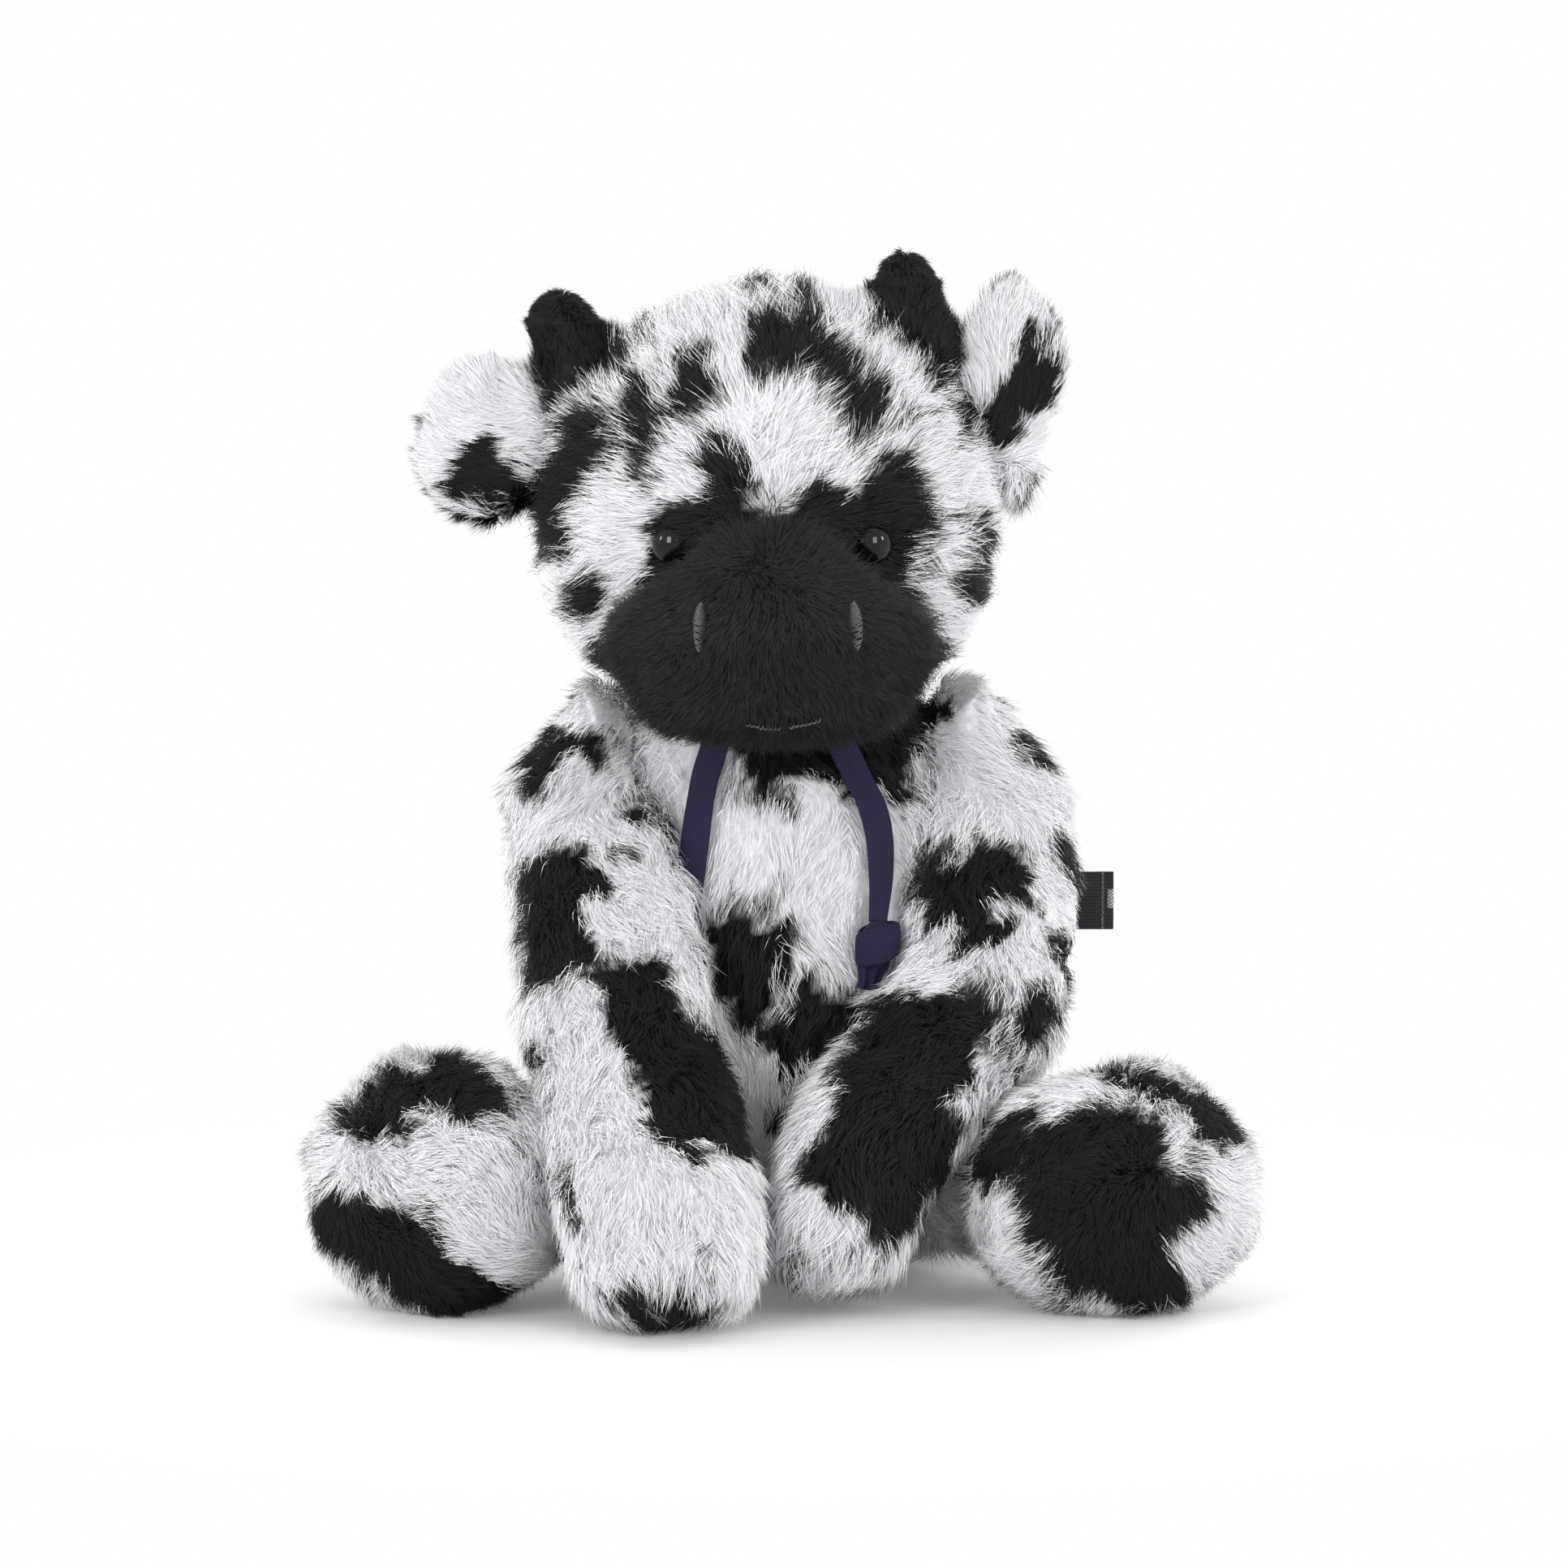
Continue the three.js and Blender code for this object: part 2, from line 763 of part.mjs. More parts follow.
// Ears: flat leaves that turn on the seam at their root
function earForm(points, widths) {
  return {
    spine: points,
    widths: widths.map(() => earThickness),
    depths: widths,
    across: forwardY,
    capShares: [0.15, 0.5],
    rings: 10,
    sides: 16,
  };
}

const ears = {
  right: {
    seat: formSeat(headForm, earShares.right, sideTurns.right),
    axis: forwardY.clone(),
    droop: earDroopRight,
    spine(root) {
      return [
        root.clone().add(place(earRootSink, 0, 0)),
        root.clone().add(place(-earRightLength / 3, 0, earRightRise / 3)),
        root.clone().add(place((-earRightLength * 2) / 3, 0, (earRightRise * 2) / 3)),
        root.clone().add(place(-earRightLength, 0, earRightRise)),
      ];
    },
    widths: [earRightNeckWidth, earRightWidth, earRightWidth, earRightWidth],
  },
  left: {
    seat: formSeat(headForm, earShares.left, sideTurns.left),
    axis: forwardY.clone().negate(),
    droop: earDroopLeft,
    spine(root) {
      return [
        root.clone().add(place(-earRootSink, 0, -earRootSink)),
        root.clone().add(place(-earRootSink / 3, 0, 0)),
        root.clone().add(place(earLeftSpread, 0, earLeftLength / 2)),
        root.clone().add(place(earLeftSpread / 2, 0, earLeftLength)),
      ];
    },
    widths: [earLeftNeckWidth, earLeftNeckWidth, earLeftWidth, earLeftWidth],
  },
};

// A block in front of or behind the seam plane of an ear
function seamBlock(seat, direction) {
  const span = earRightWidth + earLeftLength + overrun;
  const block = new THREE.BoxGeometry(2 * span, overrun, 2 * span);
  block.translate(seat.point.x, seat.point.y + direction * (overrun / 2 - touchGap / 2), seat.point.z);
  return solidOf(block);
}

for (const side of ["left", "right"]) {
  const ear = ears[side];
  const form = earForm(ear.spine(ear.seat.point), ear.widths);
  const hinge = { pivot: ear.seat.point, axis: ear.axis, stops: hingeStops(0, ear.droop, 3) };
  const beside = [stuffed(headForm, swingGap), stuffed(hornForms[side], swingGap)];
  const leaf = clearedOf(stuffed(form), beside, hinge);
  addPiece(`ear_outer_${side}`, leaf.subtract(seamBlock(ear.seat, -1)), whiteFur);
  addPiece(`ear_lining_${side}`, leaf.subtract(seamBlock(ear.seat, 1)), whiteFur);
}

// Arms: skin and fibre, open where they are sewn to the shoulders
function armForm(arm) {
  const seat = formSeat(bodyForm, armShare, armTurns[arm.side < 0 ? "right" : "left"]);
  const out = place(arm.side, 0, 0);
  const shoulder = seat.point.clone().addScaledVector(out, armRootOut);
  const root = shoulder.clone().add(place(-arm.side * armRoot.inward, 0, armRoot.up));
  const points = [root, shoulder];
  let last = shoulder;
  for (const run of [arm.elbow, arm.wrist, arm.paw, arm.tip]) {
    last = last.clone().add(place(-arm.side * run.inward, -run.forward, -run.down));
    points.push(last);
  }
  const { shoulderWidth, shoulderDepth, elbowWidth, elbowDepth } = arm;
  const { wristWidth, wristDepth, pawWidth, pawDepth } = arm;
  return {
    spine: points,
    widths: [shoulderWidth, shoulderWidth, elbowWidth, wristWidth, pawWidth, pawWidth],
    depths: [shoulderDepth, shoulderDepth, elbowDepth, wristDepth, pawDepth, pawDepth],
    across: acrossX,
    capShares: [0.2, 0.22],
    curve: "centripetal",
    rings: 11,
    sides: 14,
  };
}

// A hanging end of the neck cord: a flat section carried along a route, laid against the body
function cordGeometry(route) {
  const half = cordWidth / 2;
  const thick = cordThickness / 2;
  const edge = half - thick / 2;
  const section = [
    [half, -thick / 2],
    [half, thick / 2],
    [edge, thick],
    [-edge, thick],
    [-half, thick / 2],
    [-half, -thick / 2],
    [-edge, -thick],
    [edge, -thick],
  ];
  const turn = THREE.MathUtils.degToRad(cordTurn) * Math.sign(route[0][0]);
  const across = place(Math.cos(turn), Math.sin(turn), 0);
  const path = new THREE.CatmullRomCurve3(route.map((point) => place(...point)));
  const steps = 2 * route.length;
  const corners = section.length;
  const positions = [];
  const index = [];
  for (let step = 0; step <= steps; step += 1) {
    const middle = path.getPoint(step / steps);
    const tangent = path.getTangent(step / steps);
    const u = across.clone().addScaledVector(tangent, -across.dot(tangent)).normalize();
    const v = tangent.clone().cross(u);
    for (const [x, y] of section) {
      positions.push(...middle.clone().addScaledVector(u, x).addScaledVector(v, y));
    }
  }
  for (let step = 0; step < steps; step += 1) {
    for (let corner = 0; corner < corners; corner += 1) {
      const here = step * corners + corner;
      const beside = step * corners + ((corner + 1) % corners);
      index.push(here, beside, beside + corners);
      index.push(here, beside + corners, here + corners);
    }
  }
  const last = steps * corners;
  for (let corner = 1; corner < corners - 1; corner += 1) {
    index.push(0, corner + 1, corner);
    index.push(last, last + corner, last + corner + 1);
  }
  const geometry = new THREE.BufferGeometry();
  geometry.setAttribute("position", new THREE.Float32BufferAttribute(positions, 3));
  geometry.setIndex(index);
  return geometry;
}

// The wrapped barrel of a knot and the short end that comes out below it
function knotForms(route) {
  const last = place(...route[route.length - 1]);
  const way = upZ.clone().negate();
  const start = last.clone().addScaledVector(way, touchGap);
  const at = (distance) => start.clone().addScaledVector(way, distance);
  const turn = THREE.MathUtils.degToRad(cordTurn) * Math.sign(last.x);
  const across = place(Math.cos(turn), Math.sin(turn), 0);
  const barrel = {
    spine: [at(0), at(knotHeight / 2), at(knotHeight)],
    widths: [knotWidth, knotWidth, knotWidth],
    depths: [knotDepth, knotDepth, knotDepth],
    across,
    capShares: [0.3, 0.3],
    bluntness: 3,
    rings: 6,
    sides: 12,
  };
  const tailStart = knotHeight - cordThickness;
  const tailEnd = knotHeight + cordTailLength;
  const tail = {
    spine: [at(tailStart), at((tailStart + tailEnd) / 2), at(tailEnd)],
    widths: knotWebShares.map((share) => share * cordWidth),
    depths: knotWebShares.map((share) => share * 2 * cordThickness),
    across,
    capShares: [0.2, 0.1],
    bluntness: 4,
    rings: 5,
    sides: 10,
  };
  return [barrel, tail];
}

function knotSolid(route, grow = 0) {
  const [barrel, tail] = knotForms(route);
  return stuffed(barrel, grow).add(stuffed(tail, grow));
}

// The room that a hanging cord and its knot take in front of the body
function hangingRoom(route) {
  const xs = route.map(([x]) => x);
  const top = route[0][2];
  const [endX, , endZ] = route[route.length - 1];
  const reach = hipDepth + overrun;
  const cordSide = cordWidth / 2 + swingGap;
  const knotSide = knotWidth / 2 + 2 * swingGap;
  const knotLow = endZ - knotHeight - cordTailLength - swingGap;
  const cordBox = blockBetween(
    place(Math.min(...xs) - cordSide, -reach, endZ),
    place(Math.max(...xs) + cordSide, 0, top),
  );
  const knotBox = blockBetween(
    place(endX - knotSide, -reach, knotLow),
    place(endX + knotSide, 0, endZ + knotHeight),
  );
  const cordReach = stuffed(bodyForm, cordThickness + 2 * swingGap).intersect(cordBox);
  return stuffed(bodyForm, knotDepth + 4 * swingGap).intersect(knotBox).add(cordReach);
}

// The loop round the neck: a band that follows the body between two heights
function bandGeometry(form, lowShare, highShare, near, far, sides) {
  const positions = [];
  const index = [];
  for (let side = 0; side < sides; side += 1) {
    const turn = (2 * Math.PI * side) / sides;
    positions.push(...formPoint(form, lowShare, turn, near));
    positions.push(...formPoint(form, lowShare, turn, far));
    positions.push(...formPoint(form, highShare, turn, far));
    positions.push(...formPoint(form, highShare, turn, near));
    const here = side * 4;
    const next = ((side + 1) % sides) * 4;
    for (let corner = 0; corner < 4; corner += 1) {
      const beside = (corner + 1) % 4;
      index.push(here + corner, next + corner, next + beside);
      index.push(here + corner, next + beside, here + beside);
    }
  }
  const geometry = new THREE.BufferGeometry();
  geometry.setAttribute("position", new THREE.Float32BufferAttribute(positions, 3));
  geometry.setIndex(index);
  return geometry;
}
function loopGeometry(grow) {
  const [low, high] = cordLoopShares;
  const spread = (high - low) * (grow / cordWidth);
  const near = cordLoopClearance - grow;
  const far = cordLoopClearance + cordThickness + grow;
  return bandGeometry(bodyForm, low - spread, high + spread, near, far, bodyForm.sides);
}
addPiece("neck_cord", solidOf(loopGeometry(0)), navyCord);

const cordRoutes = { right: cordRightRoute, left: cordLeftRoute };
for (const side of ["left", "right"]) {
  addPiece(`cord_${side}`, solidOf(cordGeometry(cordRoutes[side])), navyCord);
  addPiece(`cord_knot_${side}`, knotSolid(cordRoutes[side]), navyCord);
}

for (const side of ["left", "right"]) {
  const arm = arms[side];
  const form = armForm(arm);
  const hinge = {
    pivot: form.spine[1],
    axis: acrossX.clone().negate(),
    stops: hingeStops(0, armLift, 3),
  };
  const neighbours = [bodyClear, loopClear, hangingRoom(cordRoutes[side])];
  const skin = stuffed(form).subtract(inside(form, longFur)).subtract(floor);
  const filling = fillingOf(form, longFur);
  addPiece(`arm_${side}`, clearedOf(skin, neighbours, hinge), whiteFur);
  addPiece(`arm_filling_${side}`, clearedOf(filling, neighbours, hinge), fibre);
}

// Legs and feet
function footForm(leg) {
  const turn = THREE.MathUtils.degToRad(leg.footTurn);
  const way = place(leg.side * Math.sin(turn), -Math.cos(turn), 0);
  const middle = place(leg.side * leg.footOut, -leg.footForward, leg.footHeight / 2 - restCut);
  const at = (distance) => middle.clone().addScaledVector(way, distance);
  return {
    spine: [at(-leg.footLength / 2), at(-leg.footLength / 6), at(leg.footLength / 6), at(leg.footLength / 2)],
    widths: [heelHeight, leg.footHeight, leg.footHeight, leg.footHeight],
    depths: [heelWidth, leg.footWidth, leg.footWidth, leg.footWidth],
    across: upZ,
    capShares: [0.5, 0.4],
    bluntness: 2.2,
    rings: 9,
    sides: 16,
  };
}

function legForm(leg, foot) {
  const root = place(leg.side * leg.hipOut, -leg.hipForward, legHeight);
  const heel = foot.spine[0].clone();
  const ankle = heel.clone().addScaledVector(foot.spine[1].clone().sub(heel).normalize(), ankleSink);
  ankle.z = legHeight;
  return {
    spine: [root, root.clone().lerp(ankle, 0.5), ankle],
    widths: [legWidth, legWidth, legWidth],
    depths: [legWidth, legWidth, legWidth],
    across: upZ,
    capShares: [0.3, 0.2],
    rings: 7,
    sides: 14,
  };
}

for (const side of ["left", "right"]) {
  const leg = legs[side];
  const foot = footForm(leg);
  const form = legForm(leg, foot);
  const hinge = {
    pivot: form.spine[0],
    axis: place(0, 0, leg.side),
    stops: hingeStops(0, legSpread, 2),
  };
  const neighbours = [bodyClear];
  const legHollow = inside(form, longFur);
  const footHollow = inside(foot, longFur);
  const legSkin = stuffed(form).subtract(legHollow).subtract(stuffed(foot, touchGap));
  const legFilling = fillingOf(form, longFur).subtract(footHollow);
  const footSkin = stuffed(foot).subtract(footHollow).subtract(legHollow).subtract(floor);
  addPiece(`leg_${side}`, clearedOf(legSkin, neighbours, hinge), whiteFur);
  addPiece(`leg_filling_${side}`, clearedOf(legFilling, neighbours, hinge), fibre);
  addPiece(`foot_${side}`, footSkin, whiteFur);
  addPiece(`foot_filling_${side}`, fillingOf(foot, longFur), fibre);
}

addPiece("side_label", solidOf(labelGeometry(0)), blackWeave);

// Tail
const tailSeat = formSeat(bodyForm, tailShare, tailTurn);
const tailEnd = tailSeat.point.clone().add(place(-tailReach, tailBack, -tailRise));
const tailForm = {
  spine: [
    tailSeat.point.clone().addScaledVector(tailSeat.out, -tailSink),
    tailSeat.point.clone().add(place(0, tailBack / 2, 0)),
    tailSeat.point.clone().add(place(-tailReach / 3, tailBack, -tailRise / 2)),
    tailEnd,
  ],
  widths: [tailWidth, tailWidth, tailWidth, tailWidth],
  depths: [tailWidth, tailWidth, tailWidth, tailWidth],
  across: acrossX,
  capShares: [0.1, 0.1],
  rings: 8,
  sides: 10,
};
const tuftHeight = tuftWidth / 2 - restCut;
const tuftStart = place(tailEnd.x + tailWidth / 2, tailEnd.y, tuftHeight);
const tuftForm = {
  spine: [
    tuftStart,
    tuftStart.clone().add(place(-tuftLength / 3, 0, 0)),
    tuftStart.clone().add(place((-tuftLength * 2) / 3, 0, 0)),
    tuftStart.clone().add(place(-tuftLength, 0, 0)),
  ],
  widths: [tuftWidth, tuftWidth, tuftWidth, tuftWidth / 2],
  depths: [tuftWidth, tuftWidth, tuftWidth, tuftWidth / 2],
  across: upZ,
  capShares: [0.3, 0.5],
  rings: 8,
  sides: 14,
};
const tailHinge = {
  pivot: tailSeat.point,
  axis: upZ.clone().negate(),
  stops: hingeStops(-tailSwayIn, tailSwayOut, 3),
};
const tailTube = clearedOf(stuffed(tailForm), [bodyClear], tailHinge);
addPiece("tail", tailTube.subtract(stuffed(tuftForm, touchGap)), blackPile);
addPiece("tail_tuft", stuffed(tuftForm).subtract(floor), blackPile);

export default group;
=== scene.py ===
import math

import bpy
import numpy as np
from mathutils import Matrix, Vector
from mathutils.bvhtree import BVHTree
from mathutils.kdtree import KDTree


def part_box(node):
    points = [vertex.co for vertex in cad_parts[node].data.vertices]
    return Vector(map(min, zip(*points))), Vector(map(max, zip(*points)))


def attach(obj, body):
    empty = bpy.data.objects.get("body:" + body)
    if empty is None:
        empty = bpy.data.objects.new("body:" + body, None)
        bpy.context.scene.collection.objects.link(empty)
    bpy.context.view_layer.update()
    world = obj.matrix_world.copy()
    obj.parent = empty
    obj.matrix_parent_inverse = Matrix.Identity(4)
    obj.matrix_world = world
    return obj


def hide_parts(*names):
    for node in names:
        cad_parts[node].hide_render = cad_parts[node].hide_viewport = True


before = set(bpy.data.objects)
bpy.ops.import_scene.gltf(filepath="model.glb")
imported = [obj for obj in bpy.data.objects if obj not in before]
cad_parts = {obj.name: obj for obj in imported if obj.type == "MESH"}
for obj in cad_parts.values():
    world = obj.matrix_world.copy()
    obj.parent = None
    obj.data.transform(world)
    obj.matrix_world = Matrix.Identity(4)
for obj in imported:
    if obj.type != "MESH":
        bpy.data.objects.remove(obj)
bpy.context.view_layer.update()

MM = 0.001
UP = np.array([0.0, 0.0, 1.0])

# Camera: level with the chest, a little above it
TILT = math.radians(6.0)
DISTANCE = 2.0
AIM_HEIGHT = 0.1502
FRAME_WIDTH = 0.48275
FRAME_PIXELS = (1931, 1932)
SENSOR = 36
camera = bpy.data.objects.new("camera", bpy.data.cameras.new("camera"))
bpy.context.scene.collection.objects.link(camera)
camera.location = (0, -DISTANCE * math.cos(TILT), AIM_HEIGHT + DISTANCE * math.sin(TILT))
camera.rotation_euler = (math.pi / 2 - TILT, 0, 0)
camera.data.sensor_fit = "HORIZONTAL"
camera.data.sensor_width = SENSOR
camera.data.lens = SENSOR * DISTANCE / FRAME_WIDTH
bpy.context.scene.camera = camera
bpy.context.scene.view_settings.view_transform = "Standard"


def frame_place(points):
    """Where points in metres fall in the frame, in its pixels."""
    ahead = np.array([0.0, math.cos(TILT), -math.sin(TILT)])
    upward = np.array([0.0, math.sin(TILT), math.cos(TILT)])
    seen = points - np.array(camera.location)
    scale = FRAME_PIXELS[0] / FRAME_WIDTH * DISTANCE / (seen @ ahead)
    return np.stack([FRAME_PIXELS[0] / 2 + seen[:, 0] * scale, FRAME_PIXELS[1] / 2 - (seen @ upward) * scale], 1)


# Small tools


def lengths(vectors):
    return np.linalg.norm(vectors, axis=-1)


def unit(vectors):
    return vectors / np.maximum(lengths(vectors), 1e-12)[..., None]


def ease(low, high, values):
    share = np.clip((values - low) / (high - low), 0, 1)
    return share * share * (3 - 2 * share)


def mixed(share, first, second):
    return (1 - share)[:, None] * np.array(first) + share[:, None] * np.array(second)


def mottle(points, size, seed):
    """Smooth noise between about -1 and 1 with lumps of that size in metres."""
    random = np.random.default_rng(seed)
    total = np.zeros(len(points))
    for _ in range(7):
        way = unit(random.normal(size=3)) * random.uniform(0.6, 1.5) * 2 * math.pi / (size * 2)
        total += np.sin(points @ way + random.uniform(0, 6.3))
    return total / 3.2


def add_piece(name, mesh):
    piece = bpy.data.objects.new(name, mesh)
    bpy.context.scene.collection.objects.link(piece)
    return piece


def add_mesh(name, corners, faces):
    mesh = bpy.data.meshes.new(name)
    mesh.from_pydata([tuple(c) for c in corners], [], [tuple(int(i) for i in f) for f in faces])
    mesh.update()
    mesh.polygons.foreach_set("use_smooth", np.ones(len(mesh.polygons), bool))
    return add_piece(name, mesh)


def read(source, key, width=3, kind=np.float32):
    values = np.empty(len(source) * width, kind)
    source.foreach_get(key, values)
    return values.reshape(-1, width)


def arrays(mesh):
    """A mesh's corners, their normals and its triangles."""
    mesh.calc_loop_triangles()
    corners, normals = read(mesh.vertices, "co"), read(mesh.vertex_normals, "vector")
    return corners.astype(float), normals.astype(float), read(mesh.loop_triangles, "vertices", 3, np.int32)


def fill(target, key, values):
    target.foreach_set(key, np.asarray(values, np.float32).ravel())


def move_to(mesh, corners):
    fill(mesh.vertices, "co", corners)
    mesh.update()


def lay_weave(mesh, places):
    """The map named weave, from a place in metres for each corner."""
    index = read(mesh.loops, "vertex_index", 1, np.int32)[:, 0]
    fill(mesh.uv_layers.new(name="weave").data, "uv", places[index])


def paint(mesh, colours):
    layer = mesh.color_attributes.new("fur", "FLOAT_COLOR", "POINT")
    fill(layer.data, "color", np.concatenate([colours, np.ones((len(colours), 1))], 1))


def dress(piece, material, body, slot, *nodes):
    """Give a piece its material and its body, and hide the CAD nodes that it stands for. The slot is not used."""
    piece.data.materials.clear()
    piece.data.materials.append(material)
    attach(piece, body)
    if nodes:
        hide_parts(*nodes)


def joined(name, pieces):
    with bpy.context.temp_override(active_object=pieces[0], selected_editable_objects=pieces, object=pieces[0]):
        bpy.ops.object.join()
    pieces[0].name = name
    pieces[0].data.name = name
    return pieces[0]


# Materials


def new_material(name):
    material = bpy.data.materials.new(name)
    material.use_nodes = True
    return material, material.node_tree


def wire(node, values):
    """Set each input of a node, or link it where the value is another node's output."""
    for name, value in values.items():
        if isinstance(value, bpy.types.NodeSocket):
            node.id_data.links.new(value, node.inputs[name])
        else:
            node.inputs[name].default_value = value


def add(tree, kind, output, values=(), **settings):
    """A new shader node's output, with the node's inputs wired and its settings made."""
    node = tree.nodes.new("ShaderNode" + kind)
    for name, setting in settings.items():
        setattr(node, name, setting)
    wire(node, dict(values))
    return node.outputs[output]


def surface(tree, roughness, specular, colour, more=()):
    values = {"Roughness": roughness, "Specular IOR Level": specular, "Base Color": colour}
    wire(tree.nodes["Principled BSDF"], {**values, **dict(more)})


def greatest(tree, first, second):
    return add(tree, "Math", "Value", {0: first, 1: second}, operation="MAXIMUM")


def ramped(tree, value, *stops):
    """A value turned into colours, from two stops of place and colour."""
    colour = add(tree, "ValToRGB", "Color", {"Fac": value})
    for element, (place, shade) in zip(colour.node.color_ramp.elements, stops):
        element.position = place
        element.color = (*shade, 1)
    return colour


def hair_material(name, roughness, specular, low, high):
    """Colour from each hair, with faint streaks along the pile."""
    material, tree = new_material(name)
    place = add(tree, "TexCoord", "Object")
    noise = add(tree, "TexNoise", "Fac", {"Vector": place, "Scale": 260, "Detail": 3})
    limits = {"From Min": 0.3, "From Max": 0.7, "To Min": low, "To Max": high}
    spread = add(tree, "MapRange", "Result", {"Value": noise, **limits})
    colour = add(tree, "Attribute", "Color", attribute_name="fur")
    streaked = add(tree, "VectorMath", "Vector", {0: colour, "Scale": spread}, operation="SCALE")
    surface(tree, roughness, specular, streaked)
    return material


WAVES_PER_THREAD = 0.314
WEAVE_RELIEF = 0.15 * MM


def weave_material(name, dark, light, thread, slant, roughness=0.85):
    """Woven yarn: slanted ribs crossed by finer picks, from the map named weave in metres. Its colour is painted darker
    in the weave's hollows and lighter on its ridges, as painted shade.
    """
    material, tree = new_material(name)
    place = add(tree, "UVMap", "UV", uv_map="weave")
    turned = add(tree, "Mapping", "Vector", {"Vector": place, "Rotation": (0, 0, math.radians(slant))})
    scale = WAVES_PER_THREAD / thread
    ribs = add(tree, "TexWave", "Fac", {"Vector": turned, "Scale": scale, "Distortion": 0.6, "Detail": 2})
    picks = {"Vector": turned, "Scale": scale * 0.8, "Distortion": 0.8}
    picks = add(tree, "TexWave", "Fac", picks, bands_direction="Y")
    height = add(tree, "Math", "Value", {0: ribs, 1: picks}, operation="MULTIPLY")
    relief = add(tree, "Bump", "Normal", {"Height": height, "Distance": WEAVE_RELIEF})
    # Painted shade: the colour runs from dark where the weave is lowest to light where it is highest
    surface(tree, roughness, 0.3, ramped(tree, height, (0.05, dark), (0.8, light)), {"Normal": relief})
    return material


white_hair = hair_material("white_hair", 0.85, 0.2, 0.96, 1.02)
black_hair = hair_material("black_hair", 0.6, 0.22, 0.75, 1.3)
backing_cloth = hair_material("backing_cloth", 0.95, 0.1, 0.85, 1.05)
navy_weave = weave_material("navy_weave", (0.008, 0.006, 0.022), (0.026, 0.02, 0.066), 0.0007, 35)
label_weave = weave_material("label_weave", (0.012, 0.012, 0.014), (0.035, 0.035, 0.04), 0.0005, 0)
label_grey = weave_material("label_grey", (0.16, 0.16, 0.17), (0.62, 0.62, 0.64), 0.0009, 45)
white_thread = weave_material("white_thread", (0.55, 0.55, 0.55), (0.85, 0.85, 0.85), 0.0003, 0, 0.5)
grey_satin = weave_material("grey_satin", (0.1, 0.1, 0.105), (0.33, 0.33, 0.35), 0.0004, 0, 0.5)

# Cords: two hanging ends of the neck cord, each with its knot
CORD_WIDTH = 9.0
CORD_THICKNESS = 1.8
CORD_TURN = 20.0
CORD_ROUTES = {
    "right": [
        (-19, -34.6, 173), (-20, -36.1, 168.5), (-21.6, -36.4, 163), (-24, -38.1, 155),
        (-26, -40.5, 143), (-27.4, -42.1, 131), (-28.6, -44.3, 118), (-30, -50.2, 107),
    ],
    "left": [
        (14.6, -35.7, 173), (16.4, -37.2, 168.5), (19, -37.2, 163), (22, -38, 157),
        (26.6, -39.4, 148), (29, -40.6, 138), (29.4, -42.8, 126), (28.4, -49.9, 113.6),
    ],
}
CORD_ROUTES = {side: np.array(route) * MM for side, route in CORD_ROUTES.items()}
KNOT_HALF_THICKNESS = 0.9
# Each wrap: its height from the cord's end, half width, depth and height, its slant, and the angles of its two ends
KNOT_WRAPS = ((-6.3, 5.6, 3.6, 5.3, 14.0, 0.0, 360.0), (-6.6, 6.2, 4.3, 4.9, 17.0, 150.0, 395.0))
WRAP_STEPS = 57
FRAYED_END = ((-6, 0), (-11, -0.8), (-14, -2.0), (-17, -2.6), (-20.4, -3.4))


def catmull(points, count):
    """Even parameter steps along a uniform Catmull-Rom curve."""
    points = np.array(points, float)
    points = np.concatenate([[2 * points[0] - points[1]], points, [2 * points[-1] - points[-2]]])
    spans = len(points) - 3
    at = np.minimum(np.arange(count + 1) / count * spans, spans - 1e-9)
    first = at.astype(int)
    t = (at - first)[:, None]
    a, b, c, d = (points[first + step] for step in range(4))
    square, cube = 2 * a - 5 * b + 4 * c - d, 3 * b - a - 3 * c + d
    return 0.5 * (2 * b + (c - a) * t + square * t * t + cube * t ** 3)


def carried(name, path, across, half_width, half_depth, bluntness=2.6, sides=28, wave=0.0, pleats=3.1):
    """A flat section carried along a path in metres, with the map named weave in metres."""
    half_width, half_depth = (np.broadcast_to(half, len(path))[:, None] for half in (half_width, half_depth))
    tangents = unit(np.gradient(path, axis=0))
    u = unit(across - tangents * (tangents @ across)[:, None])
    v = np.cross(tangents, u)
    angles = np.linspace(0, 2 * math.pi, sides, endpoint=False)
    x = np.sign(np.cos(angles)) * np.abs(np.cos(angles)) ** (2 / bluntness)
    y = np.sign(np.sin(angles)) * np.abs(np.sin(angles)) ** (2 / bluntness)
    flat = u[:, None] * (half_width * x)[..., None]
    tall = v[:, None] * (half_depth * y + wave * half_depth * np.sin(pleats * x))[..., None]
    faces = []
    for ring in range(len(path) - 1):
        for side in range(sides):
            here, beside = ring * sides + side, ring * sides + (side + 1) % sides
            faces.append((here, beside, beside + sides, here + sides))
    faces.append(tuple(range(sides - 1, -1, -1)))
    faces.append(tuple(range((len(path) - 1) * sides, len(path) * sides)))
    piece = add_mesh(name, (path[:, None] + flat + tall).reshape(-1, 3), faces)
    steps = np.hypot(np.diff(x) * CORD_WIDTH / 2, np.diff(y) * CORD_THICKNESS / 2)
    around = np.concatenate([[0], np.cumsum(steps)]) * MM
    travel = np.concatenate([[0], np.cumsum(lengths(np.diff(path, axis=0)))])
    lay_weave(piece.data, np.stack(np.broadcast_arrays(around[None], travel[:, None]), -1).reshape(-1, 2))
    return piece


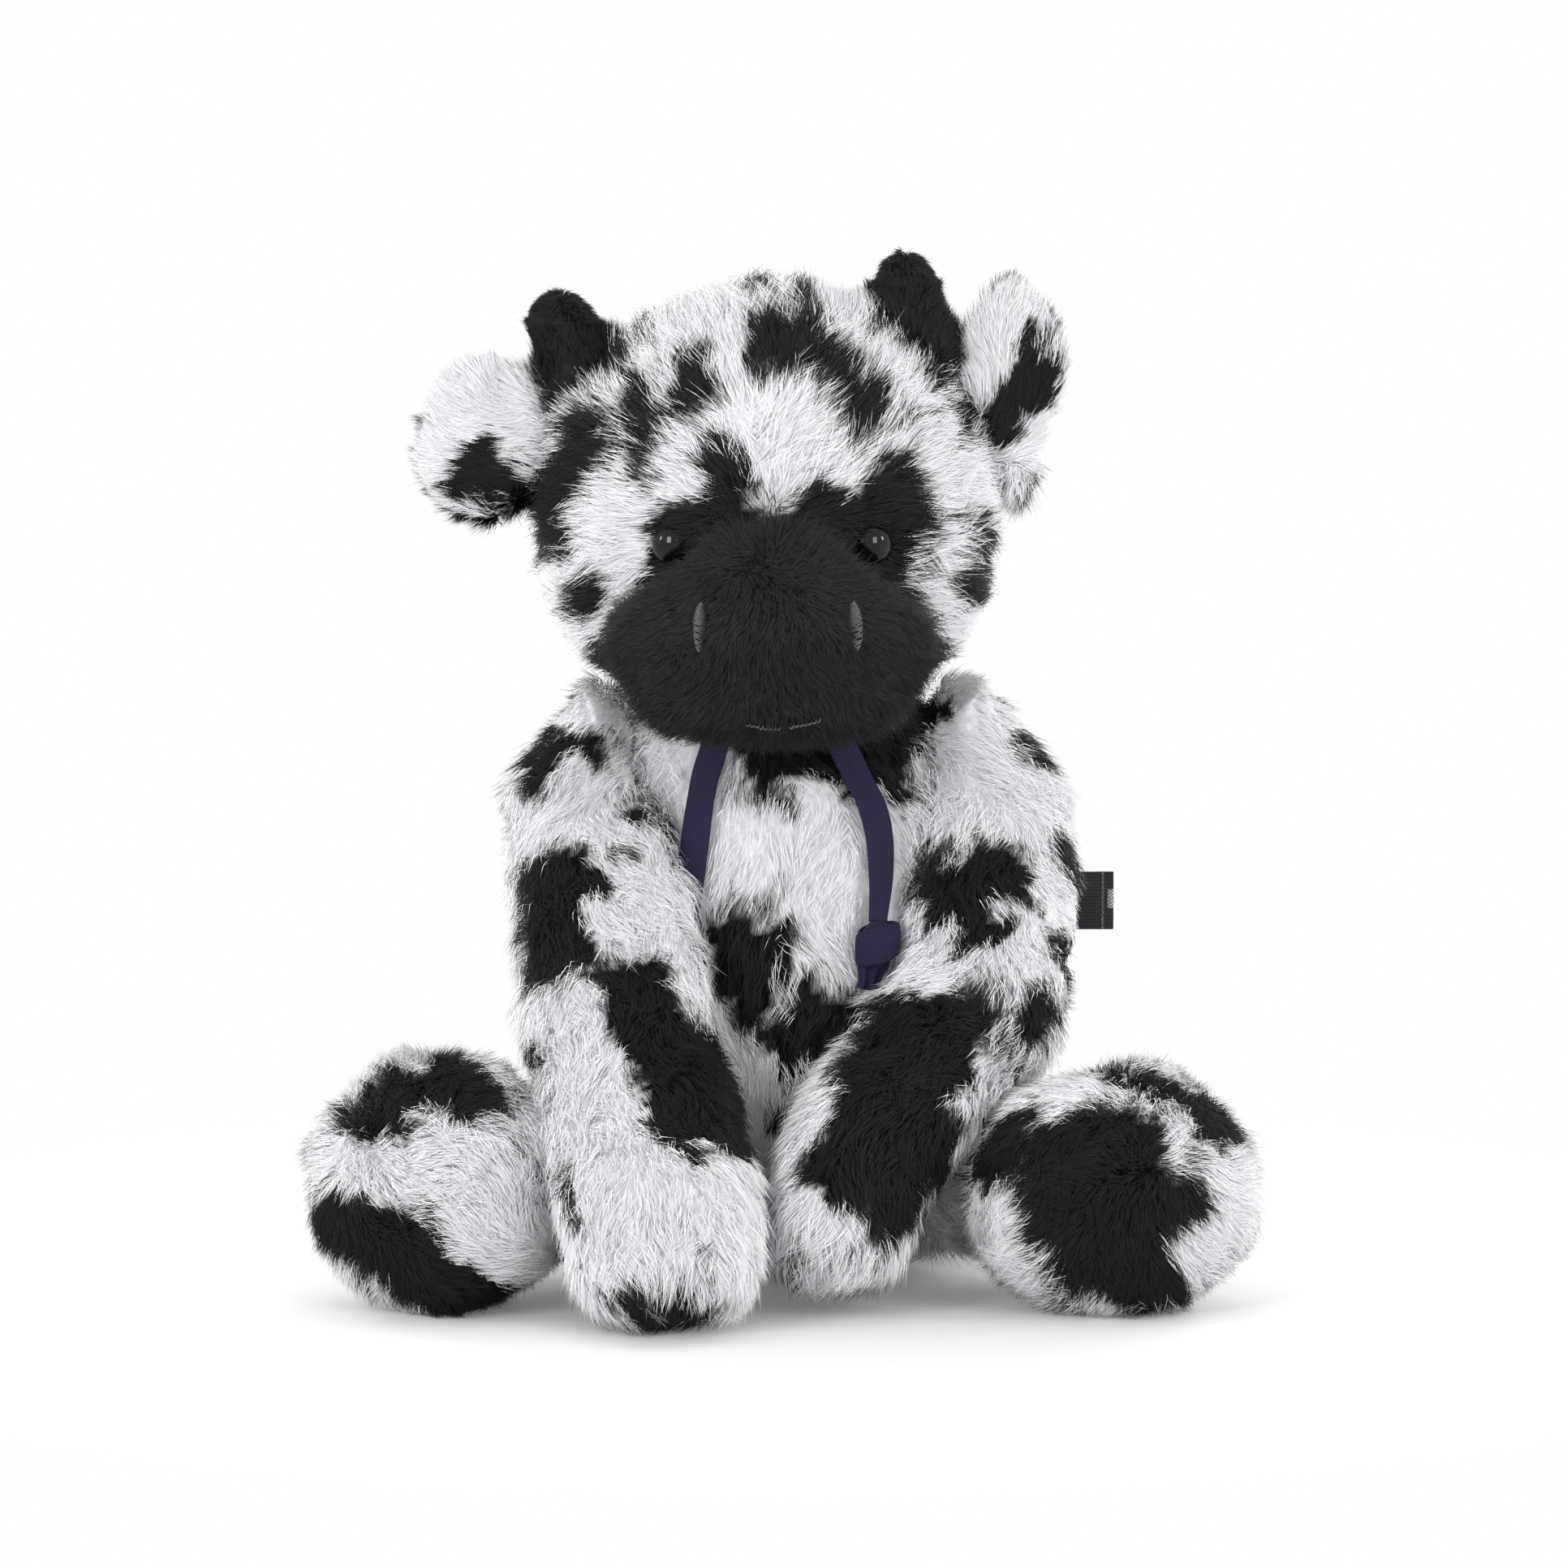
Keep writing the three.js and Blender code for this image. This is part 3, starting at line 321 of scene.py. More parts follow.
def knot_pieces(side, last, across, forward):
    """A barrel of wrapped cord and the frayed end that comes out below it."""
    found = []
    for number, (height, wide, deep, half, slant, start, stop) in enumerate(KNOT_WRAPS):
        angles = np.radians(np.linspace(start, stop, WRAP_STEPS))
        tilt = math.tan(math.radians(slant)) * wide * np.cos(angles)
        path = last + MM * (
            wide * np.cos(angles)[:, None] * across - deep * np.sin(angles)[:, None] * forward
            + (height + tilt)[:, None] * UP
        )
        tall = half * (1 - 0.06 * np.cos(2 * angles)) * MM
        found.append(carried(f"knot_wrap_{side}_{number}", path, UP, tall, KNOT_HALF_THICKNESS * MM, 3.0))
    end = catmull([last + MM * (height * UP + aside * across) for height, aside in FRAYED_END], 26)
    share = np.linspace(0, 1, len(end))
    half_widths = MM * (3.6 + 0.9 * np.sin(share * 5.2) + 0.7 * share)
    found.append(carried(f"knot_end_{side}", end, across, half_widths, 1.15 * MM, 2.2, 40, 0.62, 7.5))
    core = catmull([last + MM * height * UP for height in (0.6, -3, -7, -12.6)], 16)
    swell = np.sin(np.linspace(0.35, 2.8, len(core)))
    found.append(carried(f"knot_core_{side}", core, across, MM * 5.4 * swell, MM * 3.5 * swell, 2.2, 24))
    return found


for side, route in CORD_ROUTES.items():
    path = catmull(route, 110)
    turn = math.radians(CORD_TURN) * math.copysign(1, route[0][0])
    across = np.array([math.cos(turn), math.sin(turn), 0.0])
    forward = np.array([math.sin(turn), -math.cos(turn), 0.0])
    steps = np.linspace(0, 1, len(path))
    into_knot = ease(0.72, 1.0, steps)
    narrower = 1 - 0.34 * into_knot + 0.02 * np.sin(steps * 23)
    thicker = 1 + 0.35 * into_knot
    cord = carried(
        f"hanging_cord_{side}", path, across, MM * CORD_WIDTH / 2 * narrower, MM * CORD_THICKNESS / 2 * thicker,
    )
    knot = joined(f"cord_end_knot_{side}", knot_pieces(side, route[-1], across, forward))
    dress(cord, navy_weave, "torso", "navy_cord", f"cord_{side}")
    dress(knot, navy_weave, "torso", "navy_cord", f"cord_knot_{side}")

# Stuffed forms: one closed skin round each CAD form, drawn in under its pile, less so along the seams
SEAM_INSET = 0.9
SEAM_NEAR = 1.0 * MM
SEAM_FAR = 6.5 * MM
FARTHEST = 0.03
LUMP = 0.017
INSET_STEPS = 3


def together(nodes):
    """The corners and triangles of several CAD nodes as one mesh."""
    corners, faces, start = [], [], 0
    for node in nodes:
        places, _, index = arrays(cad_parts[node].data)
        corners.append(places)
        faces.append(index + start)
        start += len(places)
    return np.concatenate(corners), np.concatenate(faces)


def evaluated(piece):
    return bpy.data.meshes.new_from_object(piece.evaluated_get(bpy.context.evaluated_depsgraph_get()))


def whole(name, form, neighbours=()):
    """One closed skin round the form's nodes, and how far each of its corners is from the neighbours."""
    piece = add_mesh(name, *together(form.nodes))
    weld = piece.modifiers.new("weld", "WELD")
    weld.merge_threshold = 1e-5
    remesh = piece.modifiers.new("remesh", "REMESH")
    remesh.mode = "VOXEL"
    remesh.voxel_size = form.voxel * MM
    remesh.use_smooth_shade = True
    soften = piece.modifiers.new("soften", "SMOOTH")
    soften.factor = 0.5
    soften.iterations = form.rounds
    smooth = evaluated(piece)
    piece.modifiers.clear()
    piece.data = smooth
    piece.data.name = name
    corners, normals, _ = arrays(piece.data)
    near = np.ones(len(corners))
    depth = np.full(len(corners), form.inset * MM)
    if neighbours:
        places, index = together(neighbours)
        tree = BVHTree.FromPolygons(places.tolist(), index.tolist())
        near = np.array([tree.find_nearest(Vector(c), FARTHEST)[3] or FARTHEST for c in corners])
        free = ease(SEAM_NEAR, SEAM_FAR, near)
        lumps = form.lumps * free * mottle(corners, LUMP, form.seed)
        depth = (SEAM_INSET + (form.inset - SEAM_INSET) * free - lumps) * MM
    if form.fuller:
        depth -= free * form.fuller(corners, normals) * MM
    for _ in range(INSET_STEPS):
        corners, normals, _ = arrays(piece.data)
        move_to(piece.data, corners - normals * depth[:, None] / INSET_STEPS)
    return piece, near


def gather(mesh, root, scale, shift, way=None):
    """Draw a form's far end in towards its root and move it, given as across and up in millimetres."""
    corners, _, _ = arrays(mesh)
    offset = corners - np.array([root[0], 0, root[1]]) * MM
    distance = lengths(offset[:, ::2]) if way is None else offset[:, ::2] @ np.array(way, float)
    moved = offset * (scale[0] - 1, 0, scale[1] - 1) + np.array([shift[0], 0, shift[1]]) * MM
    move_to(mesh, corners + ease(0.0, 0.02, distance)[:, None] * moved)


# Spots: outlines in the frame's pixels, parted by slashes, for what faces the camera, and made-up ones elsewhere
SPOTS = {
    "head": """
    917,387 953,373 973,390 987,380 1007,367 1023,400 1053,427 1070,447 1100,463 1103,490 1097,513 1077,530 1057,537
    1048,513 1043,487 1030,460 1003,447 970,450 933,447 903,447 913,427 927,410 / 873,413 850,427 833,443 823,467
    823,490 837,513 853,497 873,487 883,457 880,420 / 797,448 768,458 768,487 757,500 756,533 762,570 775,600 798,600
    787,573 800,557 803,510 828,512 828,498 803,492 801,470 / 858,530 883,522 904,540 922,560 930,587 918,604 914,616
    940,624 926,646 914,656 950,664 974,634 992,612 1004,574 1024,584 1036,598 1052,606 1068,606 1060,592 1076,578
    1092,568 1090,550 1113,545 1133,570 1147,600 1160,625 1150,650 1137,673 1120,693 1124,720 1130,750 1172,790 1180,860
    1120,935 790,935 722,865 724,800 778,745 790,715 792,690 796,650 816,618 862,614 866,596 856,565 / 1110,502 1130,496
    1152,503 1140,512 1120,513 / 1137,405 1150,420 1167,447 1187,470 1203,497 1205,547 1195,547 1190,510 1177,483
    1157,455 1140,425 / 698,498 742,512 742,550 706,598 684,632 674,690 640,700 614,680 655,590 680,560 682,530 /
    677,650 690,655 700,695 690,697 680,675 / 705,715 735,713 745,735 735,757 700,760 692,735 / 1207,633 1222,630
    1225,690 1207,693 / 1190,700 1220,695 1217,745 1180,740 / 920,333 953,333 950,350 925,350 / 983,348 1003,350
    1003,365 985,363 / 653,400 690,452 705,462 725,456 745,454 767,440 770,415 740,400 / 1065,395 1100,360 1150,400
    1165,440 1150,450 1130,420 1090,395 / 1120,730 1150,735 1150,760 1125,760""",
    "head_grey": """
    692,462 715,462 735,500 720,510 700,540 690,520 / 833,560 867,560 867,580 840,582 / 780,387 803,387 800,405 780,405
    / 1140,650 1165,640 1160,700 1130,740 1120,720""",
    "body": """
    960,890 1110,890 1125,940 1120,1000 1105,985 1090,965 1060,985 1045,990 1020,965 1000,960 980,955 960,950 / 880,900
    1000,900 1000,930 990,960 965,955 950,975 985,985 980,1010 968,1005 955,985 930,990 925,960 / 875,1140 885,1120
    895,1105 905,1120 920,1140 940,1150 960,1140 975,1130 983,1150 980,1190 970,1210 958,1230 940,1255 930,1275 915,1290
    905,1280 900,1260 890,1240 878,1200 872,1170 / 985,1200 1000,1205 1005,1225 1030,1232 1050,1222 1062,1245 1050,1270
    1030,1290 1015,1310 1010,1328 995,1332 988,1310 990,1290 985,1260 975,1240 / 955,1375 975,1370 985,1358 1000,1347
    990,1370 970,1390 950,1402 938,1395 / 1105,930 1120,950 1127,990 1118,1002 1105,975 / 1112,850 1176,850 1182,885
    1155,900 1138,935 1112,935 / 925,1268 960,1252 985,1238 992,1330 975,1345 958,1300 932,1290 / 700,1300 820,1240
    820,1420 700,1420""",
    "body_grey": """
    900,960 940,970 985,985 980,1005 930,992 885,992 / 900,1120 960,1090 985,1130 960,1145 920,1140""",
    "arm_right": """
    668,892 700,903 735,908 748,925 738,950 722,945 712,928 700,930 690,948 672,955 662,968 658,985 650,1000 640,976
    638,950 642,925 652,905 / 640,1085 652,1065 672,1055 695,1052 712,1055 725,1080 745,1088 765,1098 745,1102 715,1108
    717,1130 727,1150 735,1170 742,1182 715,1190 700,1205 690,1215 670,1230 652,1232 645,1200 642,1150 640,1110 /
    703,1045 718,1042 732,1068 742,1087 722,1083 / 740,1052 770,1050 790,1060 778,1066 755,1063 / 765,1008 800,1000
    820,1020 800,1024 780,1022 / 825,1020 845,1035 858,1055 840,1050 / 700,1205 725,1194 750,1194 790,1190 800,1182
    820,1184 835,1195 840,1215 840,1235 850,1257 880,1285 900,1303 918,1312 924,1328 920,1345 935,1370 938,1400 930,1430
    915,1440 890,1420 870,1402 857,1400 870,1420 876,1440 860,1442 845,1428 820,1420 803,1410 800,1385 795,1360 783,1335
    772,1300 757,1283 748,1262 750,1242 762,1225 742,1215 720,1210 / 640,1310 660,1295 672,1312 665,1322 / 750,1604
    790,1610 830,1616 870,1616 882,1625 860,1640 800,1640 765,1622 / 690,1455 700,1450 712,1500 722,1520 705,1520""",
    "arm_right_grey": "858,1535 870,1540 880,1590 865,1595 / 765,985 800,980 825,1015 800,1010",
    "arm_left": """
    1120,860 1172,860 1176,880 1150,898 1135,915 1125,935 1118,915 1118,890 / 1250,903 1265,897 1290,905 1296,930
    1303,958 1285,948 1260,937 1248,920 / 1115,1071 1127,1059 1147,1056 1162,1046 1179,1041 1172,1056 1157,1066
    1163,1077 1182,1066 1202,1046 1227,1041 1254,1056 1274,1071 1279,1086 1267,1106 1282,1121 1289,1133 1272,1127
    1262,1111 1237,1106 1219,1116 1209,1126 1227,1136 1254,1136 1254,1149 1232,1161 1207,1163 1197,1159 1192,1171
    1182,1183 1167,1183 1177,1161 1182,1149 1189,1141 1167,1141 1147,1148 1137,1143 1127,1123 1113,1106 / 1295,1040
    1320,1037 1340,1043 1340,1068 1320,1066 1298,1062 / 1315,1068 1342,1068 1340,1110 1325,1105 / 1288,1158 1305,1150
    1320,1163 1330,1188 1328,1213 1318,1225 1310,1190 1296,1175 / 1243,1265 1258,1240 1275,1222 1290,1225 1302,1245
    1306,1262 1292,1278 1270,1298 1253,1292 1242,1280 / 1060,1240 1085,1231 1130,1227 1170,1224 1205,1227 1222,1245
    1234,1260 1215,1271 1205,1276 1205,1290 1197,1300 1202,1320 1202,1340 1190,1347 1170,1346 1160,1352 1165,1370
    1175,1385 1197,1385 1182,1402 1170,1422 1160,1447 1155,1462 1140,1472 1128,1492 1125,1512 1112,1522 1095,1537
    1080,1557 1070,1542 1075,1515 1065,1490 1055,1502 1040,1497 1020,1482 1000,1472 973,1450 988,1430 1003,1405
    1030,1380 1025,1365 1022,1340 1028,1310 1048,1290 1058,1262""",
    "arm_left_grey": """
    1178,1212 1200,1203 1237,1213 1247,1235 1237,1252 1215,1242 1200,1226 / 1040,1545 1062,1543 1062,1562 1045,1562 /
    966,1550 985,1548 988,1585 972,1588 / 1205,1290 1240,1270 1262,1300 1255,1345 1240,1310""",
    "foot_right": """
    400,1393 414,1368 440,1351 455,1326 482,1316 522,1328 537,1304 547,1288 559,1293 579,1308 604,1328 624,1351 626,1368
    607,1374 597,1368 587,1385 572,1389 557,1379 547,1364 522,1361 509,1374 504,1394 497,1405 462,1405 432,1405 /
    372,1510 383,1498 400,1480 410,1470 430,1484 460,1484 490,1491 512,1500 532,1520 547,1540 572,1555 592,1570 622,1581
    652,1591 682,1578 680,1597 652,1608 620,1618 580,1626 550,1628 510,1616 490,1596 475,1577 465,1596 448,1580 430,1560
    408,1545 383,1532 / 672,1448 690,1444 702,1455 705,1480 707,1500 716,1522 700,1516 690,1496 680,1480 / 640,1312
    660,1295 674,1315 665,1322 650,1318""",
    "foot_right_grey": """
    595,1345 630,1350 650,1370 625,1385 600,1365 / 630,1412 650,1412 655,1430 632,1432 / 500,1490 540,1490 555,1530
    530,1520""",
    "foot_left": """
    1252,1405 1265,1395 1290,1390 1300,1383 1320,1368 1340,1360 1365,1366 1395,1370 1402,1383 1415,1388 1430,1385
    1438,1400 1440,1430 1450,1450 1465,1453 1485,1464 1497,1475 1507,1495 1500,1506 1480,1511 1450,1516 1440,1521
    1440,1545 1452,1565 1467,1580 1462,1602 1440,1607 1400,1612 1360,1607 1330,1597 1310,1582 1295,1562 1280,1542
    1262,1522 1250,1500 1248,1470 1248,1440 / 1213,1402 1228,1386 1245,1378 1258,1368 1272,1358 1277,1375 1264,1390
    1250,1410 1248,1440 1245,1457 1225,1471 1213,1482 1207,1465 1209,1446 1198,1430 1204,1410 / 1350,1330 1360,1312
    1375,1318 1400,1322 1430,1332 1457,1344 1463,1359 1440,1364 1420,1349 1390,1339 1370,1339 / 1436,1360 1476,1348
    1496,1348 1521,1356 1534,1378 1526,1398 1536,1408 1516,1425 1501,1415 1491,1405 1476,1390 1466,1372 1446,1365""",
    "foot_left_grey": """
    1255,1520 1275,1530 1300,1560 1330,1597 1330,1617 1300,1612 1285,1582 1265,1552 / 1172,1545 1200,1550 1195,1570
    1175,1568 / 1460,1430 1485,1408 1495,1440 1478,1458 1462,1450""",
    "ear_right": """
    546,590 555,570 570,545 590,533 600,533 606,560 616,575 640,585 652,590 640,602 600,607 570,610 545,602 / 640,590
    700,580 712,640 690,690 650,690 632,640""",
    "ear_right_grey": "592,600 650,596 650,680 622,672 600,650 588,620 / 560,545 600,530 600,560 575,570",
    "ear_left": """
    1267,390 1276,410 1281,440 1300,450 1308,475 1292,497 1272,512 1258,542 1245,532 1225,547 1220,520 1224,490 1234,470
    1250,455 1262,430""",
    "ear_left_grey": "1278,400 1300,400 1308,450 1283,445",
}
SPOTS = {
    part: [np.array([pair.split(",") for pair in outline.split()], float) for outline in outlines.split("/")]
    for part, outlines in SPOTS.items()
}
GREY_SHARE = 0.5
SEEN_FROM_FRONT = -0.2


def inside_outline(places, outline):
    x, y = places[:, 0], places[:, 1]
    found = np.zeros(len(places), bool)
    for (x0, y0), (x1, y1) in zip(outline, np.roll(outline, -1, axis=0)):
        if y0 != y1:
            found ^= ((y0 > y) != (y1 > y)) & (x < x0 + (y - y0) * (x1 - x0) / (y1 - y0))
    return found


def back_spots(form):
    """Spread-out places, grain and size for the spots that the front doesn't show."""
    random = np.random.default_rng(form.seed)
    corners, normals, _ = arrays(form.skin.data)
    away = corners[normals[:, 1] > 0.25]
    found = []
    while len(found) < form.made_up and len(away):
        tries = away[random.integers(0, len(away), 24)]
        gaps = [min([lengths(place - spot[0]) for spot in found], default=1.0) for place in tries]
        place, grain = tries[int(np.argmax(gaps))], unit(random.normal(size=3))
        found.append((place, grain, form.size * random.uniform(0.65, 1.25)))
    return found


def black_share(form, points, normals):
    """How likely each point carries black pile, from 0 to 1."""
    if form.black:
        return np.ones(len(points))
    seed = form.seed
    facing = np.sum(unit(np.array(camera.location) - points) * normals, axis=1)
    places = frame_place(points)
    for side in (0, 1):
        coarse, fine = mottle(points, 0.006, seed + 2 * side + 1), mottle(points, 0.0022, seed + 2 * side + 2)
        places[:, side] += 6.5 * coarse + 4.5 * fine
    front = np.zeros(len(points))
    for part, share in ((form.name + "_grey", GREY_SHARE), (form.name, 1)):
        for outline in SPOTS.get(part, ()):
            front[inside_outline(places, outline)] = share
    behind = np.zeros(len(points))
    wobble = 0.3 * mottle(points, 0.012, seed + 5) + 0.15 * mottle(points, 0.004, seed + 6)
    for centre, grain, size in form.spots:
        offset = points - centre
        far = np.sqrt(np.maximum(0, np.sum(offset ** 2, axis=1) - 0.55 * (offset @ grain) ** 2)) / size
        behind[far + wobble < 1] = 1
    return np.where(facing > SEEN_FROM_FRONT, front, behind)


# Fur: bent, tapering strands of mesh that grow out of a skin
WHITE = np.array([0.893, 0.885, 0.91])
BLACK = np.array([0.0065, 0.0065, 0.0072])
ROOT_DEPTH = 0.4 * MM
STANDS_PROUD = 7.5 * MM
OFF_FLOOR = 0.3 * MM
# Where another form covers the skin, fewer and shorter strands
HIDDEN = 1.2 * MM
HIDDEN_DENSITY = 0.45
HIDDEN_LENGTH = 0.5
SWIRL = 0.6
LEAST_TILT, MOST_TILT = 12, 84
RAGGED_RISE, RAGGED_LENGTH = 26, 1.9
STRAYS, STRAY_RISE = 0.04, 18
# A strand stands up more below its knee and lies flatter above it, and three spokes round the knee make it thick
KNEE = 0.45
RISE_BEFORE = 0.3
FALL_AFTER = 0.22
SPOKES = (math.pi / 2, math.pi * 7 / 6, math.pi * 11 / 6)
STRAND_FACES = np.array([[0, 1, 2], [0, 2, 3], [0, 3, 1], [2, 1, 4], [3, 2, 4], [1, 3, 4]])
# Locks: how many strands gather, and how far their middles and tips are drawn together
LOCKS = ((110, 0.34), (14, 0.42))
LOCK_COLOUR_SHARE = 0.6
PIECE_LIMIT = 33000
quick_share = 1.0


def leaders(root, size, random):
    """For each strand, the one that its lock of about that many strands gathers round."""
    groups = max(1, len(root) // max(2, int(size * quick_share)))
    heads = random.choice(len(root), groups, replace=False)
    tree = KDTree(groups)
    for number, head in enumerate(heads):
        tree.insert(root[head], number)
    tree.balance()
    return heads[np.array([tree.find(place)[1] for place in root])]


def grow_fur(name, form, count, seed):
    random = np.random.default_rng(seed)
    corners, normals, triangles = arrays(form.skin.data)
    count = int(count * quick_share)
    a, b, c = (corners[triangles[:, i]] for i in range(3))
    area = lengths(np.cross(b - a, c - a)) * np.where(form.near[triangles].mean(1) < HIDDEN, HIDDEN_DENSITY, 1.0)
    chosen = triangles[random.choice(len(triangles), count, p=area / area.sum())]
    mix = random.random((count, 2))
    fold = mix.sum(1) > 1
    mix[fold] = 1 - mix[fold]
    weights = np.stack([1 - mix.sum(1), mix[:, 0], mix[:, 1]], 1)
    root = (corners[chosen] * weights[..., None]).sum(1)
    normal = unit((normals[chosen] * weights[..., None]).sum(1))
    close = (form.near[chosen] * weights).sum(1)
    reach = form.length * MM * random.uniform(0.5, 1.3, count) * (1 + 0.14 * mottle(root, 0.009, seed + 13))
    more_at_rim, rim_reach, rise_at_rim = form.rim
    seam = 1 - ease(2 * MM, rim_reach * MM, close)
    reach *= np.where(close < HIDDEN, HIDDEN_LENGTH, 1 + more_at_rim * seam)
    if form.longer:
        reach *= form.longer(root)
    if form.trim:
        keep, shorter = form.trim(root)
        root, normal, reach, seam = root[keep], normal[keep], (reach * shorter)[keep], seam[keep]
        count = len(root)
    # The way it lies along the skin, turned a little by swirls that are larger where the flow is weak
    way = form.flow(root, normal)
    way = way - normal * np.sum(way * normal, axis=1, keepdims=True)
    strength = ease(0.0, 0.5, lengths(way))
    way = unit(way)
    angle = SWIRL * (2.2 - 1.2 * strength) * mottle(root, 0.018, seed + 11)
    angle += 0.35 * mottle(root, 0.006, seed + 12) + random.normal(0, 0.2, count)
    way = way * np.cos(angle)[:, None] + np.cross(normal, way) * np.sin(angle)[:, None]
    strays = random.random(count) < STRAYS
    tilt = form.lean * (0.6 + 0.4 * strength) + 11 * mottle(root, 0.012, seed + 14) + random.normal(0, 8, count)
    tilt -= rise_at_rim * seam
    # Pile that turns away from the front stands up and is longer, so that the outline is ragged
    aside = form.turned * (1 - ease(0.15, 0.8, -normal[:, 1]))
    tilt -= RAGGED_RISE * aside
    reach *= 1 + RAGGED_LENGTH * aside * random.random(count) ** 2
    tilt = np.radians(np.clip(np.where(strays, tilt - STRAY_RISE, tilt), LEAST_TILT, MOST_TILT))
    reach = np.where(strays, reach * 1.1, reach)[:, None]
    early, late = (tilt - RISE_BEFORE)[:, None], np.minimum(tilt + FALL_AFTER, 1.5)[:, None]
    middle = root + KNEE * reach * (normal * np.cos(early) + way * np.sin(early))
    tip = middle + (1 - KNEE) * reach * (normal * np.cos(late) + way * np.sin(late))
    for size, draw in LOCKS:
        leader = leaders(root, size, random)
        pull = (np.where(strays, 0.2, 1.0) * draw * random.uniform(0.4, 1.0, count))[:, None]
        tip = tip + pull * (tip[leader] - tip)
        middle = middle + 0.4 * pull * (middle[leader] - middle)
    height = np.sum((tip - root) * normal, axis=1)
    allowed = STANDS_PROUD * random.uniform(0.55, 1.3, count)
    tip -= (np.maximum(height - allowed, 0))[:, None] * normal
    axis = unit(tip - root)
    beside = unit(np.cross(axis, normal))
    above = np.cross(beside, axis)
    width = form.width / math.sqrt(quick_share)
    thick = (width * MM * random.uniform(0.7, 1.3, count) * np.where(strays, 0.7, 1.0))[:, None]
    spokes = [math.cos(t) * beside + math.sin(t) * above for t in SPOKES]
    strands = np.stack([root - normal * ROOT_DEPTH, *[middle + thick * spoke for spoke in spokes], tip], 1)
    strands[..., 2] = np.maximum(strands[..., 2], OFF_FLOOR)
    ring_normals = [unit(0.75 * normal + 0.5 * spoke) for spoke in spokes]
    shading = np.stack([normal, *ring_normals, unit(normal + 0.2 * axis)], 1)
    # Its colour is that of the place it reaches, and mostly that of its lock
    share = np.maximum(*(black_share(form, places, normal) for places in (root + 0.6 * (tip - root), tip)))
    share = np.where(random.random(count) < LOCK_COLOUR_SHARE, share[leader], share)
    black = random.random(count) < share
    lightness = (random.uniform(0.93, 1.04, count) - 0.03 * mottle(root, 0.01, seed + 15))[:, None]
    darkness = form.tone * BLACK * random.uniform(0.6, 1.5, count)[:, None]
    tint = np.where(black[:, None], darkness, WHITE * lightness)
    # Painted shade and sheen: each strand's root is painted darker than its middle, as shade deep in the pile, and its
    # tip lighter, as a painted sheen; both are strongest on black pile
    low = tint * np.where(black, min(0.95, 0.3 + 0.3 * form.tone), 0.86)[:, None]
    high = tint * np.where(black, 1.25, 1.03)[:, None]
    faces = (np.arange(count)[:, None, None] * 5 + STRAND_FACES).reshape(-1, 3)
    mesh = bpy.data.meshes.new(name)
    mesh.vertices.add(count * 5)
    fill(mesh.vertices, "co", strands)
    mesh.loops.add(len(faces) * 3)
    mesh.loops.foreach_set("vertex_index", faces.astype(np.int32).ravel())
    mesh.polygons.add(len(faces))
    each = {
        "loop_start": np.arange(len(faces), dtype=np.int32) * 3, "loop_total": np.full(len(faces), 3, np.int32),
        "material_index": np.repeat(black.astype(np.int32), len(STRAND_FACES)), "use_smooth": np.ones(len(faces), bool),
    }
    for key, values in each.items():
        mesh.polygons.foreach_set(key, values)
    mesh.update(calc_edges=True)
    # Root, spokes and tip carry the painted shade, the hair's own colour and the painted sheen, in that order
    paint(mesh, np.minimum(np.stack([low, tint, tint, tint, high], 1).reshape(-1, 3), 0.95))
    lay_map(mesh, faces, root, normal)
    mesh.normals_split_custom_set_from_vertices(shading.reshape(-1, 3).astype(np.float32))
    mesh.materials.append(white_hair)
    mesh.materials.append(black_hair)
    piece = add_piece(name, mesh)
    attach(piece, form.body)


def lay_map(mesh, faces, root, normal):
    """A map in six tiles, one for each side a hair grows on, so that neighbours lie together."""
    low = root.min(0)
    place = (root - low) / ((root.max(0) - low).max() + 1e-9)
    axis = np.argmax(np.abs(normal), axis=1)
    sign = normal[np.arange(len(normal)), axis] > 0
    first = np.where(axis == 0, place[:, 1], place[:, 0])
    second = np.where(axis == 2, place[:, 1], place[:, 2])
    centre = np.stack([(first * 0.94 + 0.03 + axis) / 3, (second * 0.94 + 0.03 + sign) / 2], 1)
    offsets = 0.0012 * np.array([[0, 0], [-0.7, 0.8], [0, 0.9], [0.7, 0.8], [0, 2]])
    places = (centre[:, None] + offsets[None]).reshape(-1, 2)
    fill(mesh.uv_layers.new(name="OFBake").data, "uv", places[faces.ravel()])


# Room in the pile for eyes, cords and label: which strands stay, and how much shorter they are
EYES = {
    "left": (np.array([27.9, -65.1, 227.9]) * MM, unit(np.array([0.438, -0.893, -0.098]))),
    "right": (np.array([-34.6, -66.6, 227.9]) * MM, unit(np.array([-0.393, -0.914, -0.097]))),
}
cord_places = np.concatenate([catmull(route, 40) for route in CORD_ROUTES.values()])
knot_places = np.array([route[-1] - down * MM * UP for route in CORD_ROUTES.values() for down in range(1, 20, 3)])
label_low, label_high = (np.array(corner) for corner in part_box("side_label"))


def clear_of_eyes(root):
    keep, shorter = np.ones(len(root), bool), np.ones(len(root))
    for centre, out in EYES.values():
        offset = root - centre
        off_axis = lengths(offset - (offset @ out)[:, None] * out)
        near = np.abs(offset @ out) < 0.02
        keep &= ~(near & (off_axis < 5.0 * MM))
        least = 0.26 + 0.3 * ease(-0.001, 0.004, offset[:, 2])
        grown = least + (1 - least) * ease(0.0065, 0.017, off_axis)
        shorter = np.where(near, np.minimum(shorter, grown), shorter)
    return keep, shorter


def wide_of_eyes(root):
    """The muzzle's pile is cut shorter and farther back from the eyes."""
    far = from_eyes(root)
    return far > 7.5 * MM, 0.25 + 0.75 * ease(0.0085, 0.022, far)


def from_eyes(places):
    return np.min([lengths(places - centre) for centre, _ in EYES.values()], axis=0)


